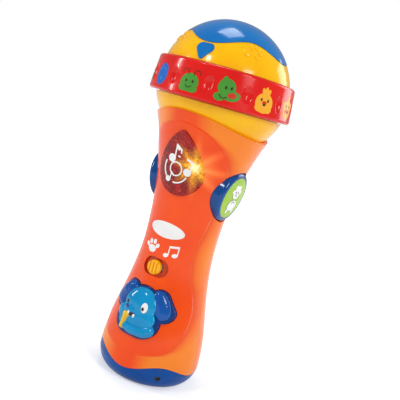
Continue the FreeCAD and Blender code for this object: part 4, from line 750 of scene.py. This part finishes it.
# ---------------------------------------------------------------- puppy button
# A carrier with a puppy in rounded relief on it, pressed as one button; the carrier's dark blue is painted
# shade for the shadowed gap round the puppy. Head, arm, ears and toy microphone are separate mouldings
# pinned to the carrier; eyes, nose and mouth are painted domes.
# The carrier is a real part, but its dark blue is painted shade for the shadowed gap round the puppy.
finish_node("puppy_button", moulded("carrier blue with painted shade", srgb(6, 62, 132), srgb(4, 50, 112), gloss=0.22))
puppy_blue = moulded("puppy blue", srgb(0, 156, 210), srgb(0, 138, 196), gloss=0.1, coat=0.25)
ear_blue = moulded("ear blue", srgb(0, 90, 174), srgb(0, 74, 156), gloss=0.1, coat=0.3)
toy_yellow = moulded("toy yellow", srgb(242, 200, 40), srgb(228, 182, 30), gloss=0.24, coat=0.4)
eye_white = moulded("eye white", srgb(246, 246, 244), srgb(236, 236, 236), gloss=0.14, coat=0.6)
eye_black = moulded("eye black", srgb(24, 18, 20), srgb(14, 10, 12), gloss=0.12, coat=0.6)
PUPPY_MIDDLE = 0.0456
SIGHT_Y = -0.08


def seat_on(target, across, up):
    """The place on the front of a piece, straight back from a point of the front view, in millimetres."""
    start = Vector((across / 1000, SIGHT_Y, PUPPY_MIDDLE + up / 1000))
    _, spot, normal, _ = target.ray_cast(start, Vector((0, 1, 0)))
    return facing(spot, normal)


def relief(name, lumps, finish, voxel, rounds):
    """A rounded form on the carrier, of lumps: across, up, half width, half height, thickness."""
    seat = nodes["puppy_button"]
    shapes = [lump(seat_on(seat, across, up), wide, high, thick) for across, up, wide, high, thick in lumps]
    shape = melted(fused(name, shapes), voxel, rounds)
    shape.data.materials.append(finish)
    return shape


def painted(name, seat, spot, size, finish):
    """A small painted dome on a seat; spot is across and up, size is half width, half height, thickness."""
    dome = lump(seat_on(seat, *spot), *size)
    dome.name = name
    dome.data.materials.append(finish)
    return dome


FACE = [(0.4, 3.6, 10.5, 9.7, 3.7), (0.3, -3.6, 12.4, 7.8, 2.9), (0.8, -8.2, 11.4, 5.4, 1.5)]
FACE += [(-4.0, -1.4, 5.8, 4.2, 4.2), (6.4, -3.6, 5.6, 4.6, 3.6), (-9.4, -3.8, 3.9, 4.6, 3.1)]
ARM = [(1.2, -12.0, 6.6, 3.1, 3.3), (5.6, -11.6, 6.4, 3.4, 3.5)]
ARM += [(10.0, -9.8, 3.6, 3.8, 3.2), (-3.6, -11.2, 2.8, 3.0, 3.5)]
RIGHT_EAR = [(9.4, 10.2, 4.1, 4.2, 2.5), (10.3, 8.6, 4.8, 4.9, 2.7), (11.4, 6.8, 5.3, 5.2, 2.8)]
RIGHT_EAR += [(12.3, 5.1, 5.5, 5.2, 2.8), (13.1, 3.6, 5.5, 5.0, 2.8), (13.5, 2.4, 5.2, 4.8, 2.8)]
LEFT_EAR = [(-across, up, wide, high, thick) for across, up, wide, high, thick in RIGHT_EAR]
TOY = [(-5.1, -5.0, 3.0, 2.9, 4.7), (-5.4, -7.2, 2.2, 2.4, 4.4), (-5.6, -9.0, 2.0, 2.3, 4.2)]
TOY += [(-5.8, -10.8, 1.8, 2.2, 4.0), (-6.0, -12.2, 1.6, 2.0, 3.9)]
puppy_head = relief("puppy_head", FACE, puppy_blue, voxel=0.00035, rounds=7)
puppy_arm = relief("puppy_arm", ARM, puppy_blue, voxel=0.0003, rounds=5)
right_ear = relief("puppy_ear_right", RIGHT_EAR, ear_blue, voxel=0.0003, rounds=14)
left_ear = relief("puppy_ear_left", LEFT_EAR, ear_blue, voxel=0.0003, rounds=14)
toy_mic = relief("puppy_toy_microphone", TOY, toy_yellow, voxel=0.00025, rounds=5)

right_eye = painted("puppy_eye_right", puppy_head, (4.9, 3.0), (2.05, 3.1, 0.55), eye_white)
pupil = painted("puppy_pupil", right_eye, (4.3, 2.2), (0.85, 1.15, 0.3), eye_black)
left_eye = painted("puppy_eye_left", puppy_head, (-7.2, 2.9), (0.8, 1.05, 0.4), eye_black)
nose = painted("puppy_nose", puppy_head, (-6.2, 0.5), (1.5, 1.05, 0.6), ear_blue)
mouth = painted("puppy_mouth", puppy_head, (-1.9, -3.2), (2.5, 1.3, 0.4), eye_black)
left_tooth = painted("puppy_tooth_left", puppy_head, (-3.9, -2.6), (0.75, 1.2, 0.6), eye_white)
right_tooth = painted("puppy_tooth_right", puppy_head, (-0.4, -3.6), (0.8, 1.25, 0.6), eye_white)
smile = fused("puppy_smile", [left_tooth, right_tooth])

mouldings = [puppy_head, puppy_arm, right_ear, left_ear, toy_mic]
for piece in mouldings + [right_eye, pupil, left_eye, nose, mouth, smile]:
    choose(piece)
    bpy.ops.object.shade_smooth()
    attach(piece, "puppy")
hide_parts("puppy_face")
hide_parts("puppy_ears")
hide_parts("puppy_toy_mic")


# ---------------------------------------------------------------- side buttons
# A big rounded deep-blue button leans out on each side, with a domed lime disc let into its face and a
# plain white animal printed on the disc.
button_blue = moulded("button blue", srgb(0, 78, 152), srgb(0, 64, 134), gloss=0.12, coat=0.25)
lime = moulded("lime plastic", srgb(160, 204, 20), srgb(148, 194, 14), gloss=0.2, coat=0.2)
leaf_ink = moulded("leaf ink", srgb(96, 150, 30), srgb(86, 140, 24), **picture_ink)
grey_ink = moulded("grey ink", srgb(96, 104, 112), srgb(84, 92, 100), **picture_ink)


def lamb_marks():
    """A plain white lamb on a leaf-green edge: head, ears, three curls, face, body and two feet."""
    marks = [(oval(0, 3.6, 4.9, 4.4), leaf_ink), (oval(0, -4.4, 5.9, 4.0), leaf_ink)]
    marks += [(oval(0, 3.6, 4.4, 3.9), white_ink)]
    marks += [(oval(-4.2, 4.6, 1.7, 1.1, 35), white_ink), (oval(4.2, 4.6, 1.7, 1.1, -35), white_ink)]
    marks += [(oval(x, 7.0, 1.5, 1.4), white_ink) for x in (-2.2, 0.0, 2.2)]
    marks += [(oval(-1.5, 4.0, 0.6, 0.85), grey_ink), (oval(1.5, 4.0, 0.6, 0.85), grey_ink)]
    marks += [(oval(0, 2.2, 0.8, 0.5), grey_ink), (oval(0, -4.4, 5.4, 3.5), white_ink)]
    marks += [(oval(-3.4, -8.0, 1.1, 1.6), white_ink), (oval(3.4, -8.0, 1.1, 1.6), white_ink)]
    marks += [(arc(0, -4.2, 2.2, 0.5, 20, 160), grey_ink)]
    return marks


DISC_LEAN = math.radians(9)
DISC_STAND_OFF = 0.01
for side, label in ((1, "right"), (-1, "left")):
    finish_node(label + "_button", button_blue)
    finish_node(label + "_button_disc", lime)
    low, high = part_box(label + "_button_disc")
    disc_out = Vector((side * math.cos(DISC_LEAN), 0, -math.sin(DISC_LEAN)))
    disc_place = facing((low + high) / 2 + disc_out * DISC_STAND_OFF, disc_out)
    lamb = printed(label + "_disc_lamb", lamb_marks(), disc_place, nodes[label + "_button_disc"])
    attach(lamb, label + "_key")


# ---------------------------------------------------------------- studio
# Pale paper on a table in an even pale room. A large soft key lamp stands on the right and a tall narrow
# one on the left for the long gloss line; small ones at the front and top and a wide one behind fill in.
FLOOR_WIDE = 6.0
FLOOR_DROP = 0.0002
GLOSSY_FLOOR = 0.35
GLOSSY_ROOM = 0.36
ROOM_LIGHT = 0.36
PAPER_NEAR = 0.42
PAPER_FADE = (0.01, 0.12)

bpy.ops.object.select_all(action="DESELECT")
bpy.ops.mesh.primitive_plane_add(size=FLOOR_WIDE, location=(0, 0, -FLOOR_DROP))
floor = bpy.context.object
floor.name = "studio_floor"
paper = bpy.data.materials.new("paper floor")
paper.use_nodes = True
tree = paper.node_tree
seen = node(tree, "ShaderNodeLightPath")
glossy = maths(tree, "MULTIPLY", seen.outputs["Is Glossy Ray"], GLOSSY_FLOOR)
backdrop_rays = maths(tree, "MAXIMUM", seen.outputs["Is Camera Ray"], glossy)
backdrop_rays = maths(tree, "MAXIMUM", backdrop_rays, seen.outputs["Is Transmission Ray"])
shader = tree.nodes["Principled BSDF"]
place = node(tree, "ShaderNodeTexCoord").outputs["Object"]
fibres = noise(tree, place, 60.0, 4.0)
tree.links.new(blended(tree, fibres, srgb(236, 236, 236), srgb(232, 232, 233)), shader.inputs["Base Color"])
shader.inputs["Roughness"].default_value = 0.9
shader.inputs["Specular IOR Level"].default_value = 0.1
shader.inputs["Emission Color"].default_value = (1, 1, 1, 1)
spot = node(tree, "ShaderNodeSeparateXYZ", {"Vector": place})
x_squared = maths(tree, "MULTIPLY", spot.outputs["X"], spot.outputs["X"])
y_squared = maths(tree, "MULTIPLY", spot.outputs["Y"], spot.outputs["Y"])
lifted = remap(tree, maths(tree, "ADD", x_squared, y_squared), *PAPER_FADE, PAPER_NEAR, 1.0)
tree.links.new(maths(tree, "MULTIPLY", backdrop_rays, lifted), shader.inputs["Emission Strength"])
floor.data.materials.append(paper)

world = bpy.data.worlds.new("studio world")
bpy.context.scene.world = world
world.use_nodes = True
tree = world.node_tree
seen = node(tree, "ShaderNodeLightPath")
backdrop_rays = maths(tree, "MAXIMUM", seen.outputs["Is Camera Ray"], seen.outputs["Is Transmission Ray"])
tree.nodes["Background"].inputs["Color"].default_value = (1, 1, 1, 1)
shine = maths(tree, "MULTIPLY", seen.outputs["Is Glossy Ray"], GLOSSY_ROOM)
shown = remap(tree, backdrop_rays, 0.0, 1.0, ROOM_LIGHT, 1.0)
tree.links.new(maths(tree, "MAXIMUM", shown, shine), tree.nodes["Background"].inputs["Strength"])


def lamp(name, place, aim, wide, high, watts):
    """A soft rectangular lamp, turned to a point."""
    light = bpy.data.lights.new(name, "AREA")
    light.shape = "RECTANGLE"
    light.size = wide
    light.size_y = high
    light.energy = watts
    stand = bpy.data.objects.new(name, light)
    bpy.context.scene.collection.objects.link(stand)
    stand.location = place
    stand.rotation_euler = (Vector(aim) - Vector(place)).to_track_quat("-Z", "Y").to_euler()


lamp("key lamp", (1.0, -0.5, 0.7), (0, 0, 0.12), 0.35, 0.45, 6.6)
lamp("fill lamp", (-0.95, -0.6, 0.45), (0, 0, 0.12), 0.08, 0.5, 4.0)
lamp("front lamp", (-0.35, -1.05, 1.0), (0, 0, 0.14), 0.14, 0.14, 2.8)
lamp("top lamp", (-0.2, 0.1, 1.1), (0, 0, 0.15), 0.35, 0.35, 2.4)
lamp("rear lamp", (0.5, 0.9, 0.5), (0, 0, 0.12), 0.5, 0.6, 3.5)

# The camera stands at the front right, a little lower than the ring, tipped down and rolled.
CAMERA_AWAY = 0.380
CAMERA_UP = 0.1715
CAMERA_TURN = math.radians(26.5)
CAMERA_TILT = math.radians(8.62)
CAMERA_ROLL = math.radians(15.85)
VIEW_WIDE = 400
VIEW_DEEP = 628.5
AIM_OFFSET = 7.55
AIM_RIGHT = math.atan(AIM_OFFSET / VIEW_DEEP)
SENSOR_WIDE = 36
toward = Vector((-math.sin(CAMERA_TURN), math.cos(CAMERA_TURN), 0))
across = Vector((math.cos(CAMERA_TURN), math.sin(CAMERA_TURN), 0))
level = toward * math.cos(AIM_RIGHT) + across * math.sin(AIM_RIGHT)
across = across * math.cos(AIM_RIGHT) - toward * math.sin(AIM_RIGHT)
forward = level * math.cos(CAMERA_TILT) - Vector((0, 0, math.sin(CAMERA_TILT)))
upward = across.cross(forward)
camera_x = across * math.cos(CAMERA_ROLL) + upward * math.sin(CAMERA_ROLL)
camera_y = upward * math.cos(CAMERA_ROLL) - across * math.sin(CAMERA_ROLL)
camera = bpy.data.objects.new("camera", bpy.data.cameras.new("camera"))
bpy.context.scene.collection.objects.link(camera)
camera.data.lens = VIEW_DEEP / VIEW_WIDE * SENSOR_WIDE
camera.data.sensor_width = SENSOR_WIDE
camera.data.clip_start = 0.01
camera.matrix_world = Matrix((camera_x, camera_y, -forward)).transposed().to_4x4()
camera.location = -toward * CAMERA_AWAY + Vector((0, 0, CAMERA_UP))
bpy.context.scene.camera = camera
bpy.context.scene.view_settings.view_transform = "Standard"
